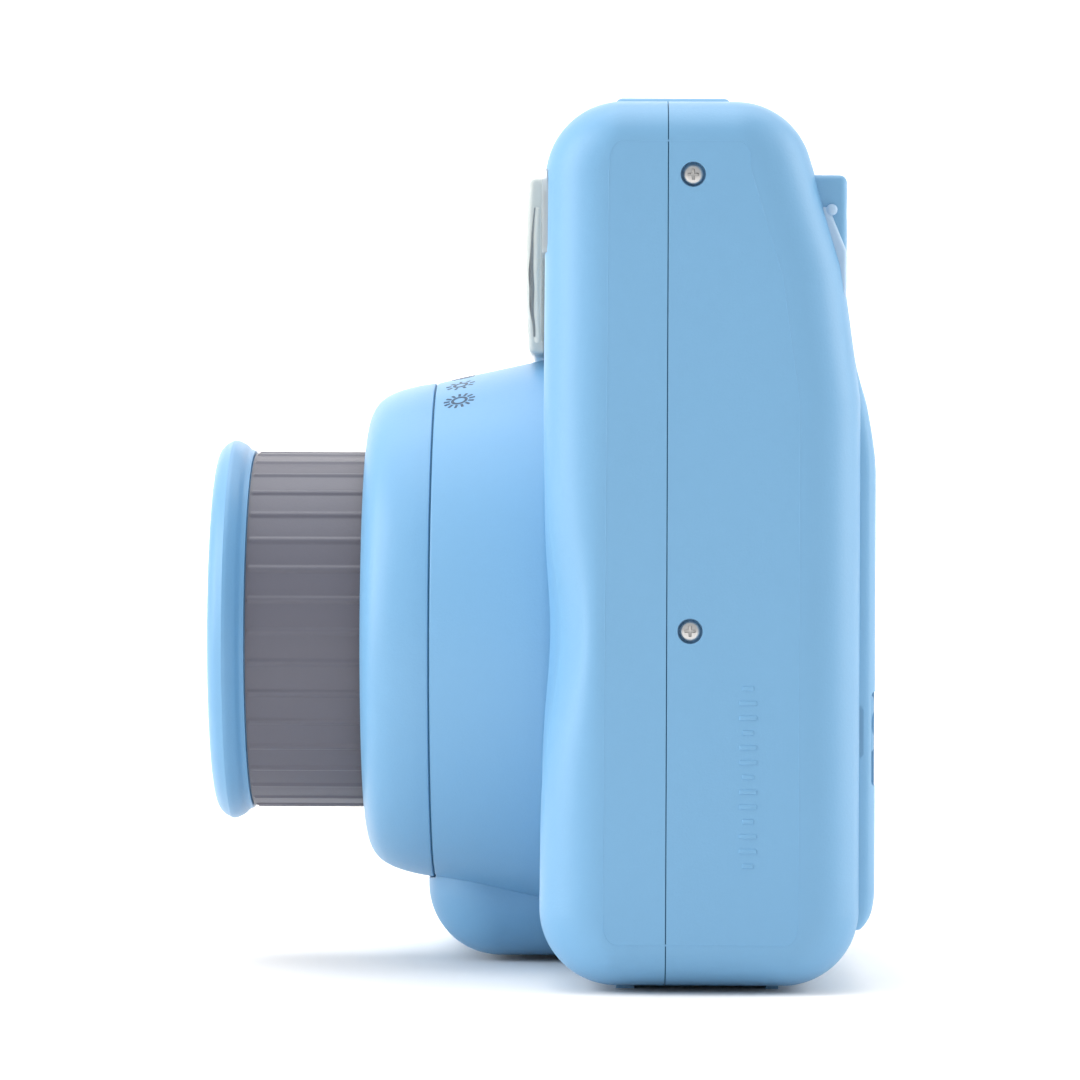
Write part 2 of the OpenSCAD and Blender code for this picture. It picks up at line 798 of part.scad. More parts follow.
module pick_arm() {
  color("#c9ccd1") {
    box([35.3, 21, 7], [36.6, 25, 60]);
    box([30.8, 20.9, 7], [35.4, 22, 8.5]);
  }
}

module drive_roller() {
  color("#9a9ca3") {
    rod_x(drive_y, roller_z, roller_r, -31, 31);
    rod_x(drive_y, roller_z, shaft_r, -36, press_gear_x);
  }
  // Drive gears are keyed to the shaft ends
  color("#d8d4c8") along_x(press_gear_x, drive_y, roller_z)
    spur(press_teeth, (press_y - drive_y) / press_teeth, 2, 0, 0);
}

module press_roller() {
  color("#9a9ca3") {
    rod_x(press_y, roller_z, roller_r, -31, 31);
    rod_x(press_y, roller_z, shaft_r, -36, press_gear_x);
  }
}

module pressure_gear() {
  color("#d8d4c8") along_x(press_gear_x, press_y, roller_z)
    spur(press_teeth, (press_y - drive_y) / press_teeth, 2, 0, 180 + 180 / press_teeth);
}

module roller_gear() {
  color("#d8d4c8") along_x(gear_x, drive_y, roller_z)
    spur(roller_teeth, gear_m, gear_w, 0, idler_dir);
}

module idler_gear() {
  color("#d8d4c8") along_x(gear_x, idler_at[0], idler_at[1])
    spur(idler_teeth, gear_m, gear_w, 1.2 + run, idler_phase);
}

module motor_pinion() {
  color("#b08d3a") {
    along_x(gear_x, pinion_at[0], pinion_at[1])
      spur(pinion_teeth, gear_m, gear_w, 0, pinion_phase);
    rod_x(pinion_at[0], pinion_at[1], 0.8, -44, gear_x + 0.1);
  }
}

module drive_motor() {
  color("silver") difference() {
    rod_x(pinion_at[0], pinion_at[1], 6.5, -54.5, -41);
    rod_x(pinion_at[0], pinion_at[1], 0.8 + run, -44.5, -40);
  }
}

front_cover();
rear_cover();
battery_door();
battery_tray();
battery_cells();
battery_contacts();
film_door();
door_hinge_pin();
door_latch();
latch_spring();
film_window();
pressure_pads();
counter_window();
counter_disc();
dial_ring();
lens_tube();
light_baffle();
lens_barrel();
lens_flange();
lens_bezel();
front_lens();
selfie_mirror();
lens_board();
rear_lens();
aperture_wheel();
shutter_blade();
shutter_solenoid();
lens_springs();
shutter_button();
shutter_spring();
lens_button();
lens_button_spring();
flash_window();
flash_reflector();
flash_tube();
flash_capacitor();
finder_window();
finder_tunnel();
finder_lens();
eyepiece_hood();
sensor_window();
circuit_board();
film_frame();
film_pack();
pick_arm();
drive_roller();
press_roller();
pressure_gear();
roller_gear();
idler_gear();
motor_pinion();
drive_motor();
slot_hood();
slot_flap();
strap_bar();
case_screws();
rest_feet();
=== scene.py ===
"""Instant camera: the visible shells as computed surfaces, and a finish for every piece."""

import math

import bpy
import numpy as np
from mathutils import Matrix, Vector


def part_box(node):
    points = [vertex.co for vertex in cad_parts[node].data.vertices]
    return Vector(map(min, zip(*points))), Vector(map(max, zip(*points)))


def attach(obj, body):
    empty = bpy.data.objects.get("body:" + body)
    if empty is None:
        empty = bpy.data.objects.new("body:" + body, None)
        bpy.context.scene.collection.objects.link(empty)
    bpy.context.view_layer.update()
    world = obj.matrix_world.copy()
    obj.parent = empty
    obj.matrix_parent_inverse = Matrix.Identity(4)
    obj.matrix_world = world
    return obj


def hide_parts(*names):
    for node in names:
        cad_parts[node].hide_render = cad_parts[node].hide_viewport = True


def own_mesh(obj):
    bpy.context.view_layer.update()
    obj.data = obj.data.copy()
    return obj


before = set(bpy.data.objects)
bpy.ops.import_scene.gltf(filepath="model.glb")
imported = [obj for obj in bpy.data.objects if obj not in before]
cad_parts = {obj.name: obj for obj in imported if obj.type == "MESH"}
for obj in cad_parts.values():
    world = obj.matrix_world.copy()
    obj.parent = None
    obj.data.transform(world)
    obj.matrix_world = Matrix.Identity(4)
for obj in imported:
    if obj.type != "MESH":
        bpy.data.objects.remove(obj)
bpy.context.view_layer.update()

# ---- Sizes in millimetres, read off the frame ----

MM = 0.001


def span(node):
    """Lowest and highest corner of a CAD node, in millimetres."""
    low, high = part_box(node)
    return np.array(low) / MM, np.array(high) / MM


case_low = span("front_cover")[0]
rear_low, rear_high = span("rear_cover")
dial_low, dial_high = span("dial_ring")
flange_low, flange_high = span("lens_flange")
barrel_low, barrel_high = span("lens_barrel")
hood_low, hood_high = span("slot_hood")
door_low, door_high = span("film_door")
hinge_low, hinge_high = span("door_hinge_pin")
latch_low, latch_high = span("door_latch")
lid_low, lid_high = span("battery_door")
flash_low, flash_high = span("flash_window")
finder_low, finder_high = span("finder_window")
sensor_low, sensor_high = span("sensor_window")
eye_high = span("eyepiece_hood")[1]
shutter_low, shutter_high = span("shutter_button")
release_low, release_high = span("lens_button")
bezel_low = span("lens_bezel")[0]
counter_low, counter_high = span("counter_window")

# Half width of the case, and the planes its outline is built on
HALF_W = 58.0
FOOT = round(float(rear_low[2]), 2)
CASE_TOP = round(float(rear_high[2]), 2)
SPLIT = round(float(rear_low[1]), 2)
LENS_Z = float(dial_low[2] + dial_high[2]) / 2
FRONT = 0.8
BACK = 42.3
WALL = 2.0
# Rounding from the flat sides to the rim, and how much less it is where the rim faces up or down
EDGE = 8.2
LEAN = 0.3
SEAM = 0.07
# How far each spring is pressed at its joint's limit
LATCH_TRAVEL = 4.0
CONE_FRONT = float(dial_high[1]) + 0.17
CHIN_FRONT = float(case_low[1])
CONE_R0, CONE_R1 = 34.5, 37.8

# Side view of the case: depth, height and radius of each rounded corner
CASE_CORNERS = [
    (FRONT + 10, FOOT + 10, 10),
    (FRONT + 10.45, CASE_TOP - 10, 10),
    (26, CASE_TOP - 10, 10),
    (30.1, 92, 10),
    (BACK - 10, 76, 10),
    (BACK - 10, FOOT + 10, 10),
]


def smooth(value, low, high):
    """Smoothstep from 0 at low to 1 at high."""
    t = np.clip((value - low) / (high - low), 0, 1)
    return t * t * (3 - 2 * t)


# ---- Meshes ----


def build(name, points, faces):
    """A mesh object from points in millimetres and faces as index rows."""
    mesh = bpy.data.meshes.new(name)
    points = np.asarray(points, float).reshape(-1, 3) * MM
    mesh.from_pydata(points.tolist(), [], [list(f) for f in faces])
    mesh.validate()
    mesh.update()
    piece = bpy.data.objects.new(name, mesh)
    bpy.context.scene.collection.objects.link(piece)
    return piece


def quads(rows, cols, wrap_rows=False, wrap_cols=True):
    """Index quads of a rows by cols grid, joined round where it wraps."""
    r = np.arange(rows if wrap_rows else rows - 1)
    c = np.arange(cols if wrap_cols else cols - 1)
    i, j = np.meshgrid(r, c, indexing="ij")
    i2, j2 = (i + 1) % rows, (j + 1) % cols
    return np.stack([i * cols + j, i * cols + j2, i2 * cols + j2, i2 * cols + j], -1).reshape(-1, 4)


def closed_tube(name, grid):
    """Rows of rings, each ring wrapped round, with both end rings closed by a fan to their middle."""
    rows, cols, _ = grid.shape
    ends = np.stack([grid[0].mean(0), grid[-1].mean(0)])
    points = np.concatenate([grid.reshape(-1, 3), ends])
    j = np.arange(cols)
    j2 = (j + 1) % cols
    first, last = rows * cols, rows * cols + 1
    base = (rows - 1) * cols
    lead = np.stack([j2, j, np.full(cols, first)], -1)
    tail = np.stack([base + j, base + j2, np.full(cols, last)], -1)
    faces = quads(rows, cols).tolist() + lead.tolist() + tail.tolist()
    return outward(build(name, points, faces))


def outward(piece):
    """Turns a closed mesh right side out: the sum of its signed tetrahedra must be positive."""
    mesh = piece.data
    mesh.calc_loop_triangles()
    tri = np.zeros(len(mesh.loop_triangles) * 3, int)
    mesh.loop_triangles.foreach_get("vertices", tri)
    co = np.zeros(len(mesh.vertices) * 3)
    mesh.vertices.foreach_get("co", co)
    a, b, c = (co.reshape(-1, 3)[tri.reshape(-1, 3)[:, k]] for k in range(3))
    if np.einsum("ij,ij->i", a, np.cross(b, c)).sum() < 0:
        mesh.flip_normals()
    return piece


def combine(piece, operation, *others):
    """Joins, cuts or intersects closed meshes; the others are used up."""
    for other in others:
        mod = piece.modifiers.new("combine", "BOOLEAN")
        mod.operation = operation
        mod.solver = "MANIFOLD"
        mod.object = other
        depsgraph = bpy.context.evaluated_depsgraph_get()
        shaped = bpy.data.meshes.new_from_object(piece.evaluated_get(depsgraph))
        piece.modifiers.remove(mod)
        old = piece.data
        piece.data = shaped
        bpy.data.meshes.remove(old)
        bpy.data.objects.remove(other)
    return piece


def finish(piece, material, body, nodes=(), angle=30):
    """Smooth shading with sharp edges past an angle, large faces leading the shading, then material, body
    and replaced nodes."""
    mesh = piece.data
    mesh.shade_smooth()
    mesh.set_sharp_from_angle(angle=math.radians(angle))
    even = piece.modifiers.new("even_shading", "WEIGHTED_NORMAL")
    even.keep_sharp = True
    even.weight = 80
    mesh.materials.clear()
    mesh.materials.append(material)
    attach(piece, body)
    if nodes:
        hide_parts(*nodes)
    return piece


# ---- Shapes ----


def outline(corners, count, t=0.0):
    """Convex outline round circles: for each direction the furthest circle gives the point, then the line
    is resampled evenly. Returns points and outward normals as arrays."""
    c = np.array(corners, float)
    angle = np.linspace(0, 2 * np.pi, 1441)
    n = np.stack([np.cos(angle), np.sin(angle)], -1)
    reach = n @ c[:, :2].T + (c[:, 2] - t)
    best = reach.argmax(1)
    p = c[best, :2] + (c[best, 2] - t)[:, None] * n
    run = np.concatenate([[0], np.cumsum(np.linalg.norm(np.diff(p, axis=0), axis=1) + 1e-9)])
    s = np.linspace(0, run[-1], count, endpoint=False)
    at = np.stack([np.interp(s, run, p[:, k]) for k in range(2)], -1)
    nn = np.stack([np.interp(s, run, n[:, k]) for k in range(2)], -1)
    return at, nn / np.linalg.norm(nn, axis=1, keepdims=True)


def slab(name, corners, x0, x1, edge, count=360, across=48, t=0.0, shape=None, lean=0.0):
    """Rounded slab: the outline in depth and height is carried across X, pulled in along its normal
    by edge*(1-cos a) while X moves by edge*sin a at both sides, and closed by flat side faces. The
    pull is less by the share lean where the outline faces up or down."""
    p, n = outline(corners, count, t)
    x0, x1, f = x0 + t, x1 - t, edge - t
    a = np.linspace(np.pi / 2, 0, 13)
    share = (1 - lean * n[:, 1] ** 4)[:, None]
    pull = f * (1 - np.cos(a))
    side = f * np.sin(a)
    mid = np.linspace(x1 - f, x0 + f, across)[1:-1]
    pulls = np.concatenate([pull, np.zeros(len(mid)), pull[::-1]])
    xs = np.concatenate([x1 - f + side, mid, x0 + f - side[::-1]])
    rim = p - f * share * n
    centre = rim.mean(0)
    shrink = np.array([0.02, 0.25, 0.5, 0.75])
    cap = centre + (rim - centre) * shrink[:, None, None]
    body = p[None] - pulls[:, None, None] * share[None] * n[None]
    yz = np.concatenate([cap, body, cap[::-1]])
    x = np.concatenate([np.full(len(cap), x1), xs, np.full(len(cap), x0)])
    grid = np.concatenate([np.broadcast_to(x[:, None, None], yz.shape[:2] + (1,)), yz], -1)
    if shape is not None:
        grid = shape(grid)
    return closed_tube(name, grid)


def rounded_box(name, low, high, radius, segments=5):
    """Box with round edges: a sphere of the edge radius whose eight octants sit at the corners."""
    low, high = np.minimum(low, high), np.maximum(low, high)
    quarter = np.linspace(0, np.pi / 2, segments + 1)
    lat = np.concatenate([quarter - np.pi / 2, quarter])
    lat[0], lat[-1] = -np.pi / 2 + 1e-3, np.pi / 2 - 1e-3
    lon = np.concatenate([quarter + k * np.pi / 2 for k in range(4)])
    up = np.repeat([-1, 1], segments + 1)
    sx = np.repeat([1, -1, -1, 1], segments + 1)
    sy = np.repeat([1, 1, -1, -1], segments + 1)
    la, lo = np.meshgrid(lat, lon, indexing="ij")
    unit = np.stack([np.cos(la) * np.cos(lo), np.cos(la) * np.sin(lo), np.sin(la)], -1)
    sign = np.stack(np.broadcast_arrays(sx[None, :], sy[None, :], up[:, None]), -1)
    half = (np.asarray(high, float) - low) / 2
    grid = (np.asarray(low, float) + high) / 2 + sign * (half - radius) + radius * unit
    return closed_tube(name, grid)


def turned(name, profile, centre, axis="y", count=160, ripple=None):
    """Body of revolution: a closed profile of (radius, distance along the axis) carried round.
    ripple, if given, adds to the radius as a function of angle and distance."""
    p = np.array(profile, float)
    a = np.arange(count) / count * 2 * np.pi
    r = np.repeat(p[:, :1], count, 1)
    h = np.repeat(p[:, 1:], count, 1)
    if ripple is not None:
        r = r + ripple(a[None, :], r, h)
    u, v = r * np.cos(a), r * np.sin(a)
    if axis == "y":
        grid = np.stack([u + centre[0], h, v + centre[1]], -1)
    elif axis == "x":
        grid = np.stack([h, u + centre[0], v + centre[1]], -1)
    else:
        grid = np.stack([u + centre[0], v + centre[1], h], -1)
    if p[0, 0] < 1e-6 and p[-1, 0] < 1e-6:
        return closed_tube(name, grid[1:-1])
    rows = len(p)
    return outward(build(name, grid, quads(rows, count, wrap_rows=True)))


def arc(centre, radius, start, stop, count=8):
    """Points of a circle arc in the profile plane, angles in degrees."""
    a = np.radians(np.linspace(start, stop, count))
    return [(centre[0] + radius * math.cos(k), centre[1] + radius * math.sin(k)) for k in a]


# ---- Shader expressions ----


class Value:
    """A socket that carries a number; the operators add Math nodes."""

    def __init__(self, paint, socket):
        self.paint, self.socket = paint, socket

    def _math(self, operation, a, b):
        return self.paint.node("ShaderNodeMath", {"operation": operation}, {0: a, 1: b})

    def __add__(self, other):
        return self._math("ADD", self, other)

    def __radd__(self, other):
        return self._math("ADD", other, self)

    def __mul__(self, other):
        return self._math("MULTIPLY", self, other)

    def __rmul__(self, other):
        return self._math("MULTIPLY", other, self)


class Paint:
    """One material under construction, with its Principled shader."""

    def __init__(self, name, **constants):
        self.material = bpy.data.materials.new(name)
        self.material.use_nodes = True
        self.tree = self.material.node_tree
        self.shader = self.tree.nodes["Principled BSDF"]
        for key, value in constants.items():
            self.shader.inputs[key.replace("_", " ")].default_value = value
        self.place = self.node("ShaderNodeTexCoord", {}, {}, "Object")

    def node(self, kind, settings, inputs, output=0):
        """Adds a node, sets its settings, then its sockets' values or links, and gives an output."""
        made = self.tree.nodes.new(kind)
        for key, value in settings.items():
            setattr(made, key, value)
        for key, value in inputs.items():
            if isinstance(value, Value):
                self.tree.links.new(value.socket, made.inputs[key])
            else:
                made.inputs[key].default_value = value
        return Value(self, made.outputs[output])

    def noise(self, scale, detail=3.0, roughness=0.55, place=None):
        """Noise from 0 to 1 with features 1/scale metres wide."""
        inputs = {"Vector": place or self.place, "Scale": scale, "Detail": detail, "Roughness": roughness}
        return self.node("ShaderNodeTexNoise", {}, inputs, "Fac")

    def mix(self, factor, a, b):
        """Colour a where the factor is 0, b where it is 1."""
        return self.node("ShaderNodeMix", {"data_type": "RGBA"}, {0: factor, 6: a, 7: b}, 2)

    def stretched(self, scale):
        """Object coordinates scaled differently along X, Y and Z."""
        return self.node("ShaderNodeMapping", {}, {"Vector": self.place, "Scale": scale})

    def set(self, **links):
        """Feeds shader sockets from expressions."""
        for key, value in links.items():
            self.tree.links.new(value.socket, self.shader.inputs[key.replace("_", " ")])
        return self

    def bump(self, height, distance, strength=1.0):
        """Small relief of the given depth in metres."""
        inputs = {"Height": height, "Distance": distance, "Strength": strength}
        return self.set(Normal=self.node("ShaderNodeBump", {}, inputs, "Normal"))


def moulded(name, colour, rough=0.36, grain=0.00003, coat=0.0, spread=0.05):
    """Moulded plastic: fine spark-eroded grain, faint flow clouds in colour, and gloss that varies."""
    paint = Paint(name, Coat_Weight=coat, Coat_Roughness=0.25, Specular_IOR_Level=0.45)
    cloud = paint.noise(28, 2)
    fine = paint.noise(2600, 2, 0.6)
    speck = paint.noise(700, 3, 0.6)
    deep = tuple(c * (1 - spread) for c in colour[:3]) + (1,)
    pale = tuple(min(1, c * (1 + spread * 0.6)) for c in colour[:3]) + (1,)
    paint.set(Base_Color=paint.mix(cloud * 0.7 + speck * 0.3, deep, pale))
    paint.set(Roughness=rough - 0.05 + cloud * 0.06 + fine * 0.06)
    return paint.bump(fine * 0.7 + speck * 0.5, grain).material


def metal(name, colour, rough=0.3, stretch=(4000, 300, 4000)):
    """Metal with drawn or turned lines: stretched noise in roughness and relief."""
    paint = Paint(name, Metallic=1.0)
    line = paint.noise(1, 3, place=paint.stretched(stretch))
    spot = paint.noise(900, 3)
    dark = tuple(c * 0.78 for c in colour[:3]) + (1,)
    paint.set(Base_Color=paint.mix(spot * 0.6 + line * 0.4, dark, colour))
    paint.set(Roughness=rough - 0.08 + line * 0.12 + spot * 0.06)
    return paint.bump(line, 0.000015).material


def clear(name, colour, rough=0.06, alpha=0.3):
    """Clear moulding that lets the inside show, with faint flow marks."""
    paint = Paint(name, IOR=1.49, Specular_IOR_Level=0.7, Coat_Weight=0.3)
    flow = paint.noise(180, 2)
    paint.set(Base_Color=paint.mix(flow, tuple(c * 0.94 for c in colour[:3]) + (1,), colour))
    paint.set(Roughness=rough + flow * 0.05, Alpha=alpha + flow * 0.06)
    return paint.bump(flow, 0.00002).material


BLUE = moulded("case_blue", (0.160, 0.364, 0.585, 1), 0.42)
DIAL_BLUE = moulded("dial_blue", (0.160, 0.364, 0.585, 1), 0.40)
RIM_BLUE = moulded("rim_blue", (0.155, 0.355, 0.58, 1), 0.38)
# Dark blue for the inner lips: painted shade in the parting line and in the joint behind the dial
SEAM_SHADE_BLUE = moulded("seam_painted_shade", (0.03, 0.14, 0.26, 1), 0.6)
BARREL = moulded("barrel_grey", (0.112, 0.112, 0.142, 1), 0.42, 0.00002)
BLACK = moulded("inner_black", (0.012, 0.012, 0.014, 1), 0.5)
BEZEL = moulded("bezel_black", (0.010, 0.010, 0.012, 1), 0.22, 0.00001)
PRINT = moulded("printed_ink", (0.008, 0.05, 0.11, 1), 0.45)
STEEL = metal("plated_steel", (0.62, 0.62, 0.62, 1), 0.3)
BRASS = metal("turned_brass", (0.75, 0.55, 0.25, 1), 0.3)
CHROME = metal("mirror_coat", (0.72, 0.73, 0.75, 1), 0.12)
CLEAR = clear("clear_window", (0.86, 0.92, 0.93, 1), 0.06, 0.28)
FLASH_CLEAR = clear("flash_moulding", (0.66, 0.70, 0.69, 1), 0.10, 0.16)
PEARL = moulded("pearl_surround", (0.66, 0.70, 0.67, 1), 0.30, spread=0.16)
SEAL_GREY = moulded("seal_grey", (0.30, 0.32, 0.30, 1), 0.45)
LENS = clear("coated_lens", (0.05, 0.07, 0.12, 1), 0.03, 0.62)
AMBER = clear("amber_window", (0.95, 0.55, 0.08, 1), 0.1, 0.7)
SMOKE = moulded("smoked_window", (0.02, 0.022, 0.028, 1), 0.12, 0.00001)
ACETAL = moulded("gear_acetal", (0.72, 0.70, 0.63, 1), 0.42)
CREAM = moulded("flash_housing", (0.94, 0.93, 0.84, 1), 0.4)
COPPER = metal("copper_winding", (0.72, 0.32, 0.16, 1), 0.35, (300, 9000, 300))
BOARD = moulded("solder_mask", (0.01, 0.13, 0.06, 1), 0.3)
WRAP = moulded("cell_sleeve", (0.05, 0.16, 0.10, 1), 0.25)
PACK = moulded("pack_black", (0.02, 0.021, 0.024, 1), 0.5)
# Paler copy of the case blue for the eyepiece fairing and post: painted highlight for light they catch
# from behind
FAIRING_HIGHLIGHT_BLUE = moulded("fairing_painted_highlight", (0.36, 0.52, 0.70, 1), 0.35)
GLASS = clear("glass_tube", (0.92, 0.95, 0.95, 1), 0.04, 0.35)


# ---- Case ----


def waist(grid):
    """Shallow finger waist in the front face beside the lens: a bell in height, fading in over
    the width, and fading out where the surface turns to the side."""
    x, y, z = grid[..., 0], grid[..., 1], grid[..., 2]
    bell = np.exp(-(((z - LENS_Z) / 12.5) ** 2))
    reach = smooth(np.abs(x), 30, 47)
    near = 1 - smooth(y, FRONT + 1.0, FRONT + EDGE)
    shaped = grid.copy()
    shaped[..., 1] = y + 2.2 * bell * reach * near
    return shaped


def case_solid(name, t=0.0):
    """The whole case, front and rear in one, shrunk all round by t."""
    return slab(name, CASE_CORNERS, -HALF_W, HALF_W, EDGE, 420, 56, t, waist, LEAN)


def block(name, x0, x1, top, t=0.0):
    """Grip or chin: a rounded slab from the front of the grip back into the case."""
    r = 10.0
    corners = [(y, z, r) for y in (CHIN_FRONT + r, 26) for z in (FOOT + r, top - r)]
    return slab(name, corners, x0, x1, 8.5, 260, 30, t)


def cone(name, t=0.0):
    """Lens cone: straight flank between its two radii, with a tight round at the mouth."""
    r0, r1 = CONE_R0 - t, CONE_R1 - t
    front = CONE_FRONT + t
    profile = [(0, front), (10, front), (r0 - 0.3, front)] + arc((r0 - 0.3, front + 0.3), 0.3, -90, -8, 5)
    profile += [(r0 + (r1 - r0) * k / 6, front + (FRONT - front) * k / 6) for k in range(1, 7)]
    profile += [(r1, FRONT + 4), (10, FRONT + 4), (0, FRONT + 4)]
    return turned(name, profile, (0, LENS_Z), count=240)


def cutter(low, high, radius=0.4):
    """Rounded cutting block."""
    return rounded_box("cutter", np.array(low, float), np.array(high, float), radius, 3)


def drill(centre, radius, h0, h1, axis="y", count=96):
    """Round cutting rod along an axis."""
    return turned("drill", [(0, h0), (radius, h0), (radius, h1), (0, h1)], centre, axis, count)


def around(low, high, margin, radius):
    """Cutter through the front wall, round a window's box with a margin."""
    start = (low[0] - margin, -6, low[2] - margin)
    stop = (high[0] + margin, 6, high[2] + margin)
    return cutter(start, stop, radius)


def front_skin(t):
    """Case, grip, chin and cone as one solid, cut off at the parting line."""
    skin = case_solid("front_shell", t)
    parts = (block("grip", -HALF_W, -34, 68, t), block("chin", -HALF_W, 8, 24, t), cone("cone", t))
    skin = combine(skin, "UNION", *parts)
    return combine(skin, "DIFFERENCE", cutter((-90, SPLIT - SEAM * (t == 0), -20), (90, 90, 150), 0.01))


LID_GAP = 0.25
SHUTTER_AT = ((shutter_low + shutter_high) / 2)[[0, 2]]
RELEASE_AT = ((release_low + release_high) / 2)[[0, 2]]


def front_cover():
    """Front shell with its window, button, battery and lens openings."""
    shell = combine(front_skin(0), "DIFFERENCE", front_skin(WALL))
    lid_start = (-HALF_W - 5, lid_low[1] - LID_GAP, lid_low[2] - LID_GAP)
    lid_stop = (-HALF_W + 5, lid_high[1] + LID_GAP, lid_high[2] + LID_GAP)
    holes = [
        drill((0, LENS_Z), 27.0, CONE_FRONT - 2, CONE_FRONT + 4, count=160),
        drill((0, LENS_Z), CONE_R0 + 0.12, CHIN_FRONT - 1, CONE_FRONT, count=240),
        around(flash_low, flash_high, 0.1, 1.6),
        around(finder_low, finder_high, 0.1, 1.2),
        around(sensor_low, sensor_high, 0.1, 1.0),
        drill(SHUTTER_AT, 7.75, -6, 6),
        drill(RELEASE_AT, 5.35, -6, 9),
        cutter(lid_start, lid_stop, 0.9),
    ]
    shell = combine(shell, "DIFFERENCE", *holes)
    return finish(shell, BLUE, "camera_body", ["front_cover"])


def seams():
    """Inner lips that show in the parting line and behind the dial, coloured dark blue as painted shade
    in those gaps, and the fine moulding line where the flat sides meet their rounded edge."""
    lip = combine(case_solid("parting_lip", 0.3), "DIFFERENCE", case_solid("inside", 1.5))
    beyond = ((-60, SPLIT - 0.6), (SPLIT + 0.6, 90))
    ends = [cutter((-90, a, -20), (90, b, 150), 0.01) for a, b in beyond]
    # Parting lip in the dark blue: painted shade in the parting gap
    finish(combine(lip, "DIFFERENCE", *ends), SEAM_SHADE_BLUE, "camera_body")
    r, y = CONE_R0 - 0.35, CONE_FRONT
    band = [(r, y - 0.16), (r, y + 0.6), (r - 0.9, y + 0.6), (r - 0.9, y - 0.16)]
    # Dial lip in the dark blue: painted shade in the joint behind the dial
    finish(turned("dial_lip", band, (0, LENS_Z), count=160), SEAM_SHADE_BLUE, "camera_body")
    p, n = outline(CASE_CORNERS, 420)
    rim = p - EDGE * (1 - LEAN * n[:, 1] ** 4)[:, None] * n
    across = np.array([(-0.14, -0.1), (0.0, 0.035), (0.14, -0.1)])
    for sign in (1, -1):
        line = rim[:, None] + across[None, :, :1] * n[:, None]
        x = np.broadcast_to(sign * (HALF_W + across[None, :, 1:]), line.shape[:2] + (1,))
        grid = np.concatenate([x, line], -1)
        crease = outward(build("edge_line", grid, quads(*grid.shape[:2], wrap_rows=True)))
        finish(crease, BLUE, "camera_body", angle=80)


HINGE_AT = ((hinge_low + hinge_high) / 2)[:2]
SCREWS = [(20.3, 105.5), (20.1, LENS_Z + 0.6)]
BASE_SCREWS = [(-40, 24), (40, 24)]
POCKET = ((-HALF_W - 4, 22, 52), (-49, 36, 62))
KNUCKLES = [(14, 25.7), (36.3, 61.7), (72.3, 84)]
DOOR_KNUCKLES = [(26, 36), (62, 72)]


def knuckle(low, high, radius=2.0, name="knuckle"):
    """Hinge barrel along Z with a small chamfer at both ends."""
    c = 0.3
    flank = [(radius - c, low), (radius, low + c), (radius, high - c), (radius - c, high)]
    profile = [(0, low)] + flank + [(0, high)]
    return turned(name, profile, HINGE_AT, "z", 48)


def rear_cover():
    """Rear shell with the openings of door, eyepiece, film slot, strap and screws."""
    shell = combine(case_solid("rear_shell"), "DIFFERENCE", case_solid("inside", WALL))
    shell = combine(shell, "DIFFERENCE", cutter((-90, -60, -20), (90, SPLIT + SEAM, 150), 0.01))
    wall = cutter((-HALF_W + 0.6, 20.8, 50.8), (-47.8, 37.2, 63.2), 0.5)
    shell = combine(shell, "UNION", wall, *[knuckle(*k) for k in KNUCKLES])
    door_start = (door_low[0] + 4.2, 35, door_low[2] - 0.25)
    door_stop = (door_high[0] + 0.28, 60, door_high[2] + 0.25)
    holes = [cutter(door_start, door_stop, 1.5)]
    holes += [drill(HINGE_AT, 2.3, k[0] - 0.2, k[1] + 0.2, "z") for k in DOOR_KNUCKLES]
    holes += [cutter(*POCKET, 1.0)]
    holes += [cutter((41, 30, 96.7), (51, 46, 105.7), 0.8)]
    holes += [drill((counter_low[[0, 2]] + counter_high[[0, 2]]) / 2, 3.05, 36, 46)]
    holes += [cutter((-28.5, 19.8, 108), (28.5, 25.2, 122), 0.5)]
    holes += [drill(s, 1.62, HALF_W - 1.2, HALF_W + 2, "x", 48) for s in SCREWS]
    holes += [drill(s, 1.62, -HALF_W - 2, -HALF_W + 1.2, "x", 48) for s in SCREWS]
    holes += [drill(s, 1.62, FOOT - 1, FOOT + 1.2, "z", 48) for s in BASE_SCREWS]
    shell = combine(shell, "DIFFERENCE", *holes)
    return finish(shell, BLUE, "camera_body", ["rear_cover"])


def back_depth(z):
    """Depth of the case's back at a height, from the outline's rear side."""
    p, n = outline(CASE_CORNERS, 2000)
    rear = n[:, 0] > 0.02
    order = np.argsort(p[rear, 1])
    return np.interp(z, p[rear, 1][order], p[rear, 0][order])


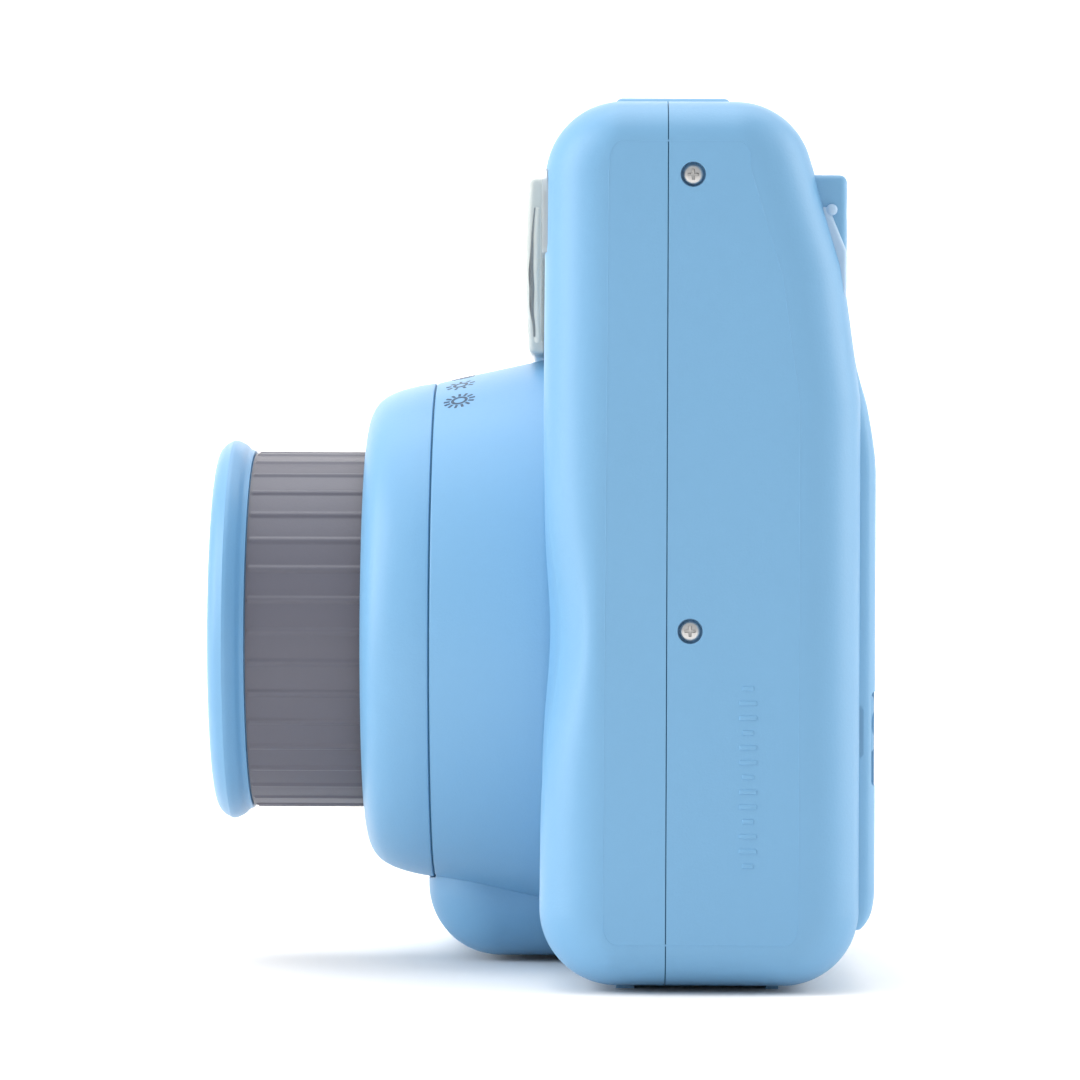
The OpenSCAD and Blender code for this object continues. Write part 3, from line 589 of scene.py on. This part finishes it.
def film_door():
    """Door: a sheet over width and height whose depth is the case's back plus a cushion that
    rises from the upper third and rounds off at the foot and both sides."""
    x = [np.linspace(door_low[0] + 4.5, door_high[0], 90), np.linspace(44, door_high[0], 24)]
    z = [np.linspace(door_low[2], door_high[2], 110), np.linspace(door_low[2], 16, 20)]
    zz, xx = np.meshgrid(np.unique(np.concatenate(z)), np.unique(np.concatenate(x)), indexing="ij")
    foot = np.clip((zz - 7.6) / 6, 0, 1)
    rise = smooth(-zz, -84.5, -67) * np.sqrt(np.clip(1 - (1 - foot) ** 2, 0, 1))
    left = np.clip((xx - (door_low[0] + 5.5)) / 4, 0, 1)
    right = np.clip((door_high[0] - 0.4 - xx) / 3.2, 0, 1)
    rise = rise * np.sqrt(1 - (1 - left) ** 2) * np.sqrt(1 - (1 - right) ** 2)
    base = back_depth(zz)
    turn = np.clip(np.abs(xx) - (HALF_W - EDGE), 0, EDGE)
    base = base - (EDGE - np.sqrt(EDGE**2 - turn**2))
    thick = 2.2
    top = np.stack([xx, base + thick * rise, zz], -1)
    low = np.stack([xx, base - thick, zz], -1)
    rows, cols = xx.shape
    points = np.concatenate([top.reshape(-1, 3), low.reshape(-1, 3)])
    face = quads(rows, cols, wrap_cols=False)
    k = np.arange(rows * cols).reshape(rows, cols)
    loop = np.concatenate([k[0, :-1], k[:-1, -1], k[-1, :0:-1], k[:0:-1, 0]])
    nxt = np.roll(loop, -1)
    rim = np.stack([nxt, loop, loop + rows * cols, nxt + rows * cols], -1)
    faces = np.concatenate([face, face[:, ::-1] + rows * cols, rim])
    door = outward(build("back_door_shell", points, faces))
    for a, b in DOOR_KNUCKLES:
        x, y = HINGE_AT
        arm = cutter((x, y - 1, a), (door_low[0] + 6, y + 1, b), 0.3)
        door = combine(door, "UNION", knuckle(a, b), arm)
    scoop_start = (latch_low[0] - 0.3, 41.6, latch_low[2] - LATCH_TRAVEL - 0.3)
    scoop = cutter(scoop_start, (door_high[0] - 1.4, 50, latch_high[2] + 0.4), 0.6)
    thumb = cutter((door_high[0] - 0.45, 41.4, 30.0), (door_high[0] + 5, 43.9, 37.4), 0.7)
    window = cutter((-4.1, 30, 33.9), (4.1, 50, 58.1), 1.2)
    door = combine(door, "DIFFERENCE", scoop, thumb, window)
    return finish(door, BLUE, "back_door", ["film_door"])


def slot_hood():
    """Low hood round the film slot: a shallow dome on a rounded rectangle."""
    low, high = (-30, hood_low[1], CASE_TOP - 4), (30, hood_high[1], hood_high[2])
    hood = rounded_box("exit_hood", low, high, 1.2, 8)
    buried = cutter((-90, -10, 90), (90, 60, CASE_TOP + 0.1), 0.01)
    slot = cutter((-27, 20, 110), (27, 23.5, 130), 0.8)
    hood = combine(hood, "DIFFERENCE", buried, slot)
    return finish(hood, BLUE, "camera_body", ["slot_hood"])


# ---- Lens ----


def eased(knots, per=5):
    """Smooth open curve through the knots: cubic Hermite pieces whose slope at a knot is half the
    step between its neighbours."""
    k = np.array(knots, float)
    m = np.gradient(k, axis=0)
    t = np.linspace(0, 1, per, endpoint=False)[:, None, None]
    h = (2 * t**3 - 3 * t**2 + 1, t**3 - 2 * t**2 + t, -2 * t**3 + 3 * t**2, t**3 - t**2)
    pieces = h[0] * k[:-1] + h[1] * m[:-1] + h[2] * k[1:] + h[3] * m[1:]
    return [tuple(q) for q in pieces.transpose(1, 0, 2).reshape(-1, 2)] + [tuple(k[-1])]


def dial_ring():
    """Brightness dial: a bell-shaped ring with a long leaning flank and a tight shoulder."""
    back, face = float(dial_high[1]), float(dial_low[1])
    flank = [(CONE_R0 - 0.22, back), (CONE_R0 - 0.06, back - 0.1)]
    bell = [(CONE_R0 - 0.05, back - 0.25), (34.15, -16.6), (33.6, -18.8), (33.0, -20.4)]
    bell += [(32.2, -21.75), (31.1, -22.75), (29.7, -23.4), (28.3, -23.72), (27.75, face)]
    inside = arc((27.5, face + 0.45), 0.45, -90, -180, 6)
    core = [(27.05, back), (28.4, back), (28.4, -21.8), (29.9, -21.4), (31.4, -18.6), (32.4, back)]
    ring = turned("brightness_dial", flank + eased(bell) + inside + core, (0, LENS_Z), count=240)
    return finish(ring, DIAL_BLUE, "dial", ["dial_ring"])


def lens_flange():
    """Front rim of the barrel: flat lip, a long front curve to a soft crest, and a curve back."""
    face, rear, crest = float(flange_low[1]), float(flange_high[1]), float(flange_high[0])
    front = [(22.3, face), (23.9, face + 0.03), (25.05, face + 0.38), (25.85, face + 1.05)]
    front += [(crest - 0.12, face + 1.9)]
    back = [(crest, face + 2.15), (crest - 0.1, face + 2.75), (25.85, face + 3.75)]
    back += [(25.25, face + 4.4), (24.95, rear - 0.05)]
    lip = [(21.2, face + 1.3), (21.3, face + 0.5), (21.7, face + 0.12)]
    seat = [(24.3, rear), (24.3, rear + 0.45), (21.2, rear + 0.45)]
    rim = turned("lens_rim", lip + eased(front) + eased(back) + seat, (0, LENS_Z), count=240)
    return finish(rim, RIM_BLUE, "lens", ["lens_flange"], 24)


RIDGE = 0.22


def lens_barrel():
    """Barrel with square-shouldered ridges every ten degrees, running along the axis."""
    r, ridges = float(barrel_high[0]) - 0.25, 36
    front, rear = float(barrel_low[1]) + 0.12, float(barrel_high[1])

    def ripple(a, radius, depth):
        """Raised within a narrow band round each ridge's angle, on the outside only."""
        turn = (a * ridges / (2 * np.pi) + 0.5) % 1 - 0.5
        band = 1 - smooth(np.abs(turn) * 2 * np.pi * r / ridges, 0.3, 0.42)
        return RIDGE * band * (radius > r - 0.05) * (depth > front + 0.3)

    flank = [(r, front), (r, front + 0.25), (r, front + 0.45), (r, -30), (r, -15), (r, rear)]
    profile = [(r - 2, front)] + flank + [(r - 2, rear)]
    tube = turned("ribbed_barrel", profile, (0, LENS_Z), count=ridges * 24, ripple=ripple)
    return finish(tube, BARREL, "lens", ["lens_barrel"], 50)


def lens_front():
    """Black front plate dished towards the glass, the glass dome, and the small mirror."""
    y = float(bezel_low[1])
    steps = [(9.95, y + 2.0), (9.95, y + 1.5), (11.2, y + 1.45), (11.4, y + 0.9), (13, y + 0.85)]
    steps += [(13.2, y + 0.3), (18, y), (20.8, y), (20.9, y + 0.2), (20.9, y + 2.0)]
    plate = turned("front_plate", steps, (0, LENS_Z), count=160)
    mirror_at = (14.6, LENS_Z + 4)
    plate = combine(plate, "DIFFERENCE", drill(mirror_at, 4.3, y - 2, y + 0.7))
    finish(plate, BEZEL, "lens", ["lens_bezel"])
    a = np.linspace(0, math.radians(30), 14)
    dome = [(9.9 * math.sin(t) / 0.5, y + 1.2 - 1.7 * (math.cos(t) - 0.866) / 0.134) for t in a]
    glass = turned("front_glass", dome + [(9.9, y + 2.9), (0, y + 2.9)], (0, LENS_Z), count=96)
    finish(glass, LENS, "lens", ["front_lens"])
    disc = [(0, y - 0.02)] + arc((3.9, y + 0.25), 0.3, -90, 0, 4) + [(4.2, y + 0.6), (0, y + 0.6)]
    mirror = turned("self_mirror", disc, mirror_at, count=64)
    finish(mirror, CHROME, "lens", ["selfie_mirror"])


# ---- Small outside pieces ----


def push_buttons():
    """The release button and the lens button: dished faces with a soft shoulder and a flange."""
    y = float(shutter_low[1])
    face = [(7.0 * t, y + 0.35 * (1 - t**2)) for t in np.linspace(0, 0.92, 10)]
    flange = [(7.4, 6.2), (8.0, 6.2), (8.0, 7.0), (0, 7.0)]
    profile = face + arc((6.6, y + 0.8), 0.8, -80, 0, 7) + flange
    button = turned("release_knob", profile, SHUTTER_AT, count=96)
    finish(button, DIAL_BLUE, "release_button", ["shutter_button"])
    y = float(release_low[1])
    face = [(4.4 * t, y + 0.45 * (1 - t**2)) for t in np.linspace(0, 1, 8)]
    flange = [(5.0, 5.3), (6, 5.3), (6, 6.1), (0, 6.1)]
    profile = face + arc((4.4, y + 0.6), 0.6, -85, 0, 6) + flange
    button = turned("lens_release_knob", profile, RELEASE_AT, count=96)
    finish(button, DIAL_BLUE, "lens_release", ["lens_button"])


def battery_door():
    """Flat lid with a row of finger grooves."""
    inner = (-HALF_W + WALL, lid_high[1], lid_high[2])
    lid = rounded_box("battery_lid_panel", lid_low, inner, 0.7, 4)
    middle = (lid_low[1] + lid_high[1]) / 2
    x0, x1, y0, y1 = -HALF_W - 2, -HALF_W + 0.35, middle - 5, middle + 5
    grooves = [cutter((x0, y0, z), (x1, y1, z + 0.8), 0.3) for z in 43.6 + 1.6 * np.arange(5)]
    lid = combine(lid, "DIFFERENCE", *grooves)
    return finish(lid, BLUE, "battery_lid", ["battery_door"])


def door_latch():
    """Slider with a round finger hollow."""
    low = (latch_low[0], 41.8, latch_low[2])
    high = (latch_high[0] - 1.3, 44.2, latch_high[2])
    plate = rounded_box("latch_slider", low, high, 0.6, 4)
    hollow = drill((47.9, (latch_low[2] + latch_high[2]) / 2), 4.0, 40, 60, "x")
    plate = combine(plate, "DIFFERENCE", hollow)
    return finish(plate, DIAL_BLUE, "latch", ["door_latch"])


def eyepiece():
    """Finder hood with an upright rear face that dies into the leaning back, a fairing on its outer flank
    below a diagonal line, and a small round post at the top of that line; fairing and post are a paler
    blue as painted highlight for light they catch from behind."""
    top, rear = float(eye_high[2]), float(eye_high[1])
    hood = rounded_box("eye_hood", (39.6, 26, 90), (52.0, rear, top), 1.0, 6)
    hood = combine(hood, "DIFFERENCE", cutter((42.2, 20, 97.9), (49.8, 60, 104.5), 0.8))
    funnel = [(0, rear + 1), (5.6, rear + 1), (4.7, rear - 1.6), (0, rear - 1.6)]
    funnel = turned("funnel", funnel, (46, 101.2), count=64)
    hood = combine(hood, "DIFFERENCE", funnel, case_solid("inside", 0.4))
    finish(hood, DIAL_BLUE, "camera_body", ["eyepiece_hood"])
    r = 0.6
    face = rear - r - 0.1
    corners = [(37.6, 101.2, r), (face, 96.0, r), (face, 90.5, r), (35, 90.5, r), (35, 101.2, r)]
    fairing = slab("eye_fairing", corners, 50.2, 52.4, 0.55, 160, 8)
    fairing = combine(fairing, "DIFFERENCE", case_solid("inside", 0.3))
    # Fairing in the paler blue: painted highlight
    finish(fairing, FAIRING_HIGHLIGHT_BLUE, "camera_body")
    dome = [(0.75 * math.sin(k), 52.7 - 0.5 * (1 - math.cos(k))) for k in np.linspace(0, 1.5, 8)]
    post = turned("eye_post", dome + [(0.75, 51), (0, 51)], (38.35, 101.4), "x", 40)
    finish(post, FAIRING_HIGHLIGHT_BLUE, "camera_body")


def bowed(low, high, depth):
    """Returns a shaping function: faces in front of depth lean back towards the window's rim by
    0.5*(1-(1-0.12u^2)(1-v^2)), u and v running from -1 to 1 over width and height."""
    mid, half = (low + high) / 2, (high - low) / 2

    def shape(grid):
        """Moves the front of the grid only."""
        u = np.clip((grid[..., 0] - mid[0]) / half[0], -1, 1)
        v = np.clip((grid[..., 2] - mid[2]) / half[2], -1, 1)
        shaped = grid.copy()
        shaped[..., 1] += 0.5 * (1 - (1 - 0.12 * u**2) * (1 - v**2)) * (grid[..., 1] < depth)
        return shaped

    return shape


def window_slab(name, x0, x1, y0, y1, z0, z1, radius, shape=None):
    """Upright rounded plate from depth y0 to y1."""
    r = radius
    corners = [(y0 + r, z0 + r, r), (y0 + r, z1 - r, r), (y1 - r, z0 + r, r), (y1 - r, z1 - r, r)]
    return slab(name, corners, x0, x1, r * 0.98, 360, 40, shape=shape)


def flash():
    """Clear bowed cover over a pearl surround, a cream inner frame with a grey seal behind it and a
    wavy dark bead along its edge, and the silver trough."""
    (x0, y0, z0), (x1, _, z1) = flash_low, flash_high
    shape = bowed(flash_low, flash_high, 0.4)
    cover = window_slab("flash_cover", x0, x1, y0, 2.8, z0, z1, 1.0, shape)
    hollow = (x0 + 0.25, x1 - 0.25, y0 + 0.2, 6, z0 + 0.3, z1 - 0.3)
    cover = combine(cover, "DIFFERENCE", window_slab("hollow", *hollow, 0.8, shape))
    finish(cover, FLASH_CLEAR, "camera_body", ["flash_window"])
    box = (x0 + 0.3, x1 - 0.45, y0 + 0.24, 2.6, z0 + 0.35, z1 - 0.35)
    surround = window_slab("flash_surround", *box, 0.75, shape)
    opening = cutter((x0 + 2.4, -9, z0 + 2.4), (x1 - 2.4, 9, z1 - 3.4), 1.2)
    surround = combine(surround, "DIFFERENCE", opening)
    finish(surround, PEARL, "camera_body")
    box = (x0 + 0.8, x1 - 0.32, y0 + 0.95, 0.0, z0 + 1.6, z1 - 4.2)
    diffuser = window_slab("flash_diffuser", *box, 0.5, shape)
    opening = cutter((x0 + 2.0, -9, z0 + 3.0), (x1 - 2.0, 9, z1 - 5.6), 1.2)
    diffuser = combine(diffuser, "DIFFERENCE", opening)
    finish(diffuser, CREAM, "camera_body")
    box = (x0 + 0.9, x1 - 0.34, 0.25, 0.75, z0 + 2.0, z1 - 5.0)
    opening = cutter((x0 + 2.0, -9, z0 + 3.0), (x1 - 2.0, 9, z1 - 6.0), 0.8)
    seal = combine(window_slab("flash_seal", *box, 0.2), "DIFFERENCE", opening)
    finish(seal, SEAL_GREY, "camera_body")
    t = np.linspace(0, 1, 90)
    height = z0 + 2.6 + t * (z1 - z0 - 7.0)
    depth = y0 + 1.0 + 0.45 * (2 * t - 1) ** 2 + 0.1 * np.sin(21 * t) * (1 - t)
    thick = 0.11 + 0.27 * np.exp(-(((t - 0.40) / 0.28) ** 2))
    a = np.arange(12) / 12 * 2 * np.pi
    ring_y = depth[:, None] + thick[:, None] * np.cos(a)
    rings = np.broadcast_arrays(x1 - 0.36 + 0.1 * np.sin(a), ring_y, height[:, None])
    bead = closed_tube("diffuser_bead", np.stack(rings, -1))
    finish(bead, SMOKE, "camera_body")
    low, high = (x0 + 1.2, 0.1, z0 + 1.2), (x1 - 1.2, 11.5, z1 - 1.2)
    trough = rounded_box("flash_trough", low, high, 0.5, 4)
    bowl = [(0.2, LENS_Z + 50.3, 10.4), (3.6, LENS_Z + 50.3, 6.4)]
    trough = combine(trough, "DIFFERENCE", slab("bowl", bowl, x0 + 2, x1 - 2, 1.5, 160, 12))
    finish(trough, CHROME, "camera_body", ["flash_reflector"])


def coil(name, node, centres, axis, wire, turns, body):
    """Compression springs: a round wire, given as coil radius and wire radius, carried along a helix over
    the length of the CAD node."""
    radius, thick = wire
    low, high = span(node)
    k = "xyz".index(axis)
    start, stop = float(low[k]) + 0.02, float(high[k]) - 0.02
    t = np.linspace(0, 1, turns * 22)[:, None]
    a, b = 2 * np.pi * turns * t, np.arange(10) / 10 * 2 * np.pi
    along = start + thick + (stop - start - 2 * thick) * t + thick * np.sin(b)
    reach = radius + thick * np.cos(b)
    parts = []
    for centre in centres:
        u, v = centre[0] + reach * np.cos(a), centre[1] + reach * np.sin(a)
        grid = (u, along, v) if axis == "y" else (u, v, along)
        parts.append(closed_tube(name, np.stack(grid, -1)))
    spring = combine(parts[0], "UNION", *parts[1:])
    spring.name = name
    finish(spring, STEEL, body, [node])
    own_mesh(spring)


def springs():
    """The four kinds of compression spring."""
    low, high = span("lens_springs")
    side = (high[0] - low[0]) / 2 - 1.1
    pair = [(side, LENS_Z), (-side, LENS_Z)]
    fine, stout, small = (0.85, 0.25), (1.6, 0.3), (0.9, 0.2)
    coil("lens_coils", "lens_springs", pair, "y", fine, 14,
         "camera_body")
    coil("shutter_coil", "shutter_spring", [SHUTTER_AT], "y", stout, 6,
         "camera_body")
    coil("release_coil", "lens_button_spring", [RELEASE_AT], "y", stout, 7,
         "camera_body")
    low, high = span("latch_spring")
    centre = ((low + high) / 2)[:2]
    coil("latch_coil", "latch_spring", [centre], "z", small, 9,
         "back_door")


def screws():
    """Pan heads with a cross recess, in the side and base recesses."""
    heads = []
    for centre, sign in [(s, sign) for s in SCREWS for sign in (1, -1)]:
        face = sign * (HALF_W - 0.15)
        bend = np.linspace(0, 1.25, 8)
        dome = [(1.35 * math.sin(t), face - sign * 0.5 * (1 - math.cos(t))) for t in bend]
        profile = dome + [(1.3, face - sign * 1.1), (0, face - sign * 1.1)]
        head = turned("head", profile, centre, "x", 48)
        for dy, dz in ((0.72, 0.19), (0.19, 0.72)):
            a = (face - 0.8, centre[0] - dy, centre[1] - dz)
            b = (face + 0.8, centre[0] + dy, centre[1] + dz)
            head = combine(head, "DIFFERENCE", cutter(a, b, 0.1))
        head = combine(head, "DIFFERENCE", drill(centre, 0.3, face - 0.7, face + 0.7, "x", 24))
        heads.append(head)
    disc = [(0, FOOT + 0.25), (1.3, FOOT + 0.3), (1.4, FOOT + 0.5), (1.4, FOOT + 1.1)]
    for x, y in BASE_SCREWS:
        head = turned("head", disc + [(0, FOOT + 1.1)], (x, y), "z", 48)
        for dx, dy in ((0.62, 0.15), (0.15, 0.62)):
            slit = cutter((x - dx, y - dy, FOOT - 1), (x + dx, y + dy, FOOT + 0.8), 0.08)
            head = combine(head, "DIFFERENCE", slit)
        heads.append(head)
    joined = combine(heads[0], "UNION", *heads[1:])
    joined.name = "screw_heads"
    return finish(joined, STEEL, "camera_body", ["case_screws"])


def side_marks():
    """Row of small raised bars on the finder side, a plain tactile pattern."""
    bars = []
    for k in range(13):
        z = 16.4 + k * 1.9
        tall = 2.3 if k % 3 else 1.5
        low = (HALF_W - 0.4, 27.6 - tall / 2, z)
        high = (HALF_W + 0.12, 27.6 + tall / 2, z + 0.6)
        bars.append(rounded_box("bar", low, high, 0.12, 3))
    marks = combine(bars[0], "UNION", *bars[1:])
    marks.name = "side_marks"
    finish(marks, BLUE, "camera_body")


def stroke(points, width, closed=False):
    """Ribbon of even width along a flat line: its edges are the line moved by its normal."""
    p = np.array(points, float)
    d = (np.roll(p, -1, 0) - np.roll(p, 1, 0)) if closed else np.gradient(p, axis=0)
    n = np.stack([-d[:, 1], d[:, 0]], -1)
    n /= np.linalg.norm(n, axis=1, keepdims=True)
    return p + n * width / 2, p - n * width / 2, closed


def ring(centre, radius, width, start=0, stop=360):
    """Arc or whole circle as a stroke."""
    whole = stop - start == 360
    a = np.radians(np.linspace(start, stop, 28, endpoint=not whole))
    points = np.stack([centre[0] + radius * np.cos(a), centre[1] + radius * np.sin(a)], -1)
    return stroke(points, width, whole)


def sun(rays, radius, inner, outer):
    """Circle with evenly spaced rays."""
    parts = [ring((0, 0), radius, 0.4)]
    for k in range(rays):
        a = 2 * math.pi * k / rays
        parts.append(stroke([(r * math.cos(a), r * math.sin(a)) for r in (inner, outer)], 0.36))
    return parts


def cloud(dx=0.0, dy=0.0):
    """Three bumps on a base line."""
    return [
        ring((-0.9 + dx, 0 + dy), 0.8, 0.32, 80, 270),
        ring((0.1 + dx, 0.5 + dy), 0.95, 0.32, 0, 165),
        ring((1.0 + dx, 0 + dy), 0.75, 0.32, -90, 75),
        stroke([(-0.9 + dx, -0.8 + dy), (1.0 + dx, -0.75 + dy)], 0.32),
    ]


def house():
    """Gable outline with a door."""
    walls = [[(-1.1, 0.1), (-1.1, -1.4)], [(1.1, 0.1), (1.1, -1.4)], [(-1.1, -1.4), (1.1, -1.4)]]
    roof = stroke([(-1.5, 0.1), (0, 1.5), (1.5, 0.1)], 0.34)
    return [roof] + [stroke(wall, 0.32) for wall in walls] + [stroke([(0, -1.4), (0, -0.5)], 0.5)]


def pictograms():
    """Five exposure signs printed on the cone beside the dial, wrapped on its flank:
    sideways distance becomes an angle and the radius follows the flank at that depth."""
    signs = [
        (26.4, sun(13, 0.95, 1.35, 2.15)),
        (16.0, sun(9, 0.85, 1.3, 2.0)),
        (6.0, sun(8, 0.6, 0.95, 1.4) + cloud(0.5, -0.9)),
        (-4.0, cloud()),
        (-14.0, house()),
    ]
    depth_mid = CONE_FRONT + 3.4
    slope = (CONE_R1 - CONE_R0), (FRONT - CONE_FRONT)
    points, faces = [], []
    for angle, parts in signs:
        for left, right, closed in parts:
            n = len(left)
            for lift in (0.025, -0.05):
                for edge in (left, right):
                    depth = depth_mid - edge[:, 1]
                    radius = CONE_R0 + slope[0] * (depth - CONE_FRONT) / slope[1] + lift
                    a = math.radians(angle) - edge[:, 0] / CONE_R0
                    points.append(np.stack([radius * np.sin(a), depth, LENS_Z + radius * np.cos(a)], -1))
            base = sum(len(p) for p in points[:-4])
            k = np.arange(n if closed else n - 1)
            k2 = (k + 1) % n
            for a, b in ((0, 1), (1, 3), (3, 2), (2, 0)):
                near, far = base + a * n, base + b * n
                faces += np.stack([near + k, near + k2, far + k2, far + k], -1).tolist()
            if not closed:
                last = base + n - 1
                faces += [[base, base + n, base + 3 * n, base + 2 * n]]
                faces += [[last, last + 2 * n, last + 3 * n, last + n]]
    signs_piece = build("exposure_signs", np.concatenate(points), faces)
    finish(signs_piece, PRINT, "camera_body")


# ---- Finish of the CAD nodes that stay ----

KEPT = {
    BLACK: ["battery_tray", "lens_tube", "light_baffle", "lens_board", "shutter_blade",
            "finder_tunnel", "film_frame", "slot_flap", "pressure_pads", "flash_capacitor",
            "aperture_wheel"],
    PACK: ["film_pack"],
    WRAP: ["battery_cells"],
    STEEL: ["battery_contacts", "door_hinge_pin", "pick_arm", "drive_roller", "press_roller",
            "drive_motor", "strap_bar"],
    ACETAL: ["pressure_gear", "roller_gear", "idler_gear", "counter_disc"],
    BRASS: ["motor_pinion"],
    COPPER: ["shutter_solenoid"],
    BOARD: ["circuit_board"],
    GLASS: ["flash_tube", "rear_lens"],
    CLEAR: ["finder_window", "finder_lens", "counter_window"],
    AMBER: ["film_window"],
    SMOKE: ["sensor_window"],
    BLUE: ["rest_feet"],
}


def dress_nodes():
    """Gives each kept CAD node its finish."""
    for material, names in KEPT.items():
        for name in names:
            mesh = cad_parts[name].data
            mesh.materials.clear()
            mesh.materials.append(material)


# ---- Stage ----


def stage():
    """Pale floor that curves up behind."""
    size = 2.4
    u = np.linspace(-1, 1, 40) * size
    bend, radius, start = np.linspace(0.05, np.pi / 2, 20), 0.5, -0.7
    floor_x = [np.linspace(size, start, 30), start - radius * np.sin(bend), np.full(12, -1.2)]
    floor_z = [np.zeros(30), radius * (1 - np.cos(bend)), np.linspace(0.55, 2.5, 12)]
    floor_x, floor_z = np.concatenate(floor_x), np.concatenate(floor_z)
    xx = np.repeat(floor_x[:, None], len(u), 1)
    zz = np.repeat(floor_z[:, None], len(u), 1)
    yy = np.repeat(u[None, :], len(floor_x), 0)
    grid = np.stack([xx, yy, zz], -1) / MM
    sweep = build("floor_sweep", grid, quads(*xx.shape, wrap_cols=False))
    sweep.data.shade_smooth()
    paint = Paint("floor_paper", Roughness=0.9, Specular_IOR_Level=0.1)
    warm, white = (0.93, 0.905, 0.88, 1), (0.95, 0.925, 0.90, 1)
    paint.set(Base_Color=paint.mix(paint.noise(40), warm, white))
    sweep.data.materials.append(paint.material)


def facing(place, target):
    """Placement at a point with local -Z towards a target and local Y up."""
    turn = (Vector(target) - Vector(place)).to_track_quat("-Z", "Y")
    return Matrix.Translation(place) @ turn.to_matrix().to_4x4()


def lamp(name, place, target, size, power, colour=(1, 1, 1)):
    """Square soft lamp that faces a point."""
    data = bpy.data.lights.new(name, "AREA")
    data.shape = "RECTANGLE"
    data.size, data.size_y = size
    data.energy = power
    data.color = colour
    light = bpy.data.objects.new(name, data)
    light.matrix_world = facing(place, target)
    bpy.context.scene.collection.objects.link(light)


def camera():
    """Camera level with the middle of the case, far enough away for a flat perspective."""
    data = bpy.data.cameras.new("view_camera")
    data.sensor_width = 36
    data.lens = 166.7
    data.clip_end = 20
    view = bpy.data.objects.new("view_camera", data)
    aim = facing((0.700, 0.0085, 0.0546), (0.0, 0.0001, 0.0588))
    view.matrix_world = aim @ Matrix.Rotation(math.radians(0.22), 4, "Z")
    bpy.context.scene.collection.objects.link(view)
    bpy.context.scene.camera = view


def lights():
    """White tent: an even bright surround, broad lamps on both flanks and a soft one above."""
    scene = bpy.context.scene
    scene.view_settings.view_transform = "Standard"
    world = bpy.data.worlds.new("surround")
    world.use_nodes = True
    background = world.node_tree.nodes["Background"]
    background.inputs["Color"].default_value = (1, 1, 1, 1)
    background.inputs["Strength"].default_value = 0.72
    scene.world = world
    middle = (0, 0, 0.06)
    lamp("front_flank", (0.25, -0.95, 0.45), middle, (0.7, 0.9), 9)
    lamp("rear_flank", (-0.1, 1.0, 0.4), middle, (0.6, 0.9), 6)
    lamp("above", (0.1, -0.1, 1.2), middle, (0.9, 0.9), 5)
    lamp("backdrop_wash", (-0.35, 0, 0.9), (-1.1, 0, 0.3), (1.4, 0.4), 12)


camera()
stage()
lights()
dress_nodes()
front_cover()
rear_cover()
seams()
film_door()
slot_hood()
dial_ring()
lens_flange()
lens_barrel()
lens_front()
push_buttons()
battery_door()
door_latch()
eyepiece()
flash()
springs()
screws()
side_marks()
pictograms()
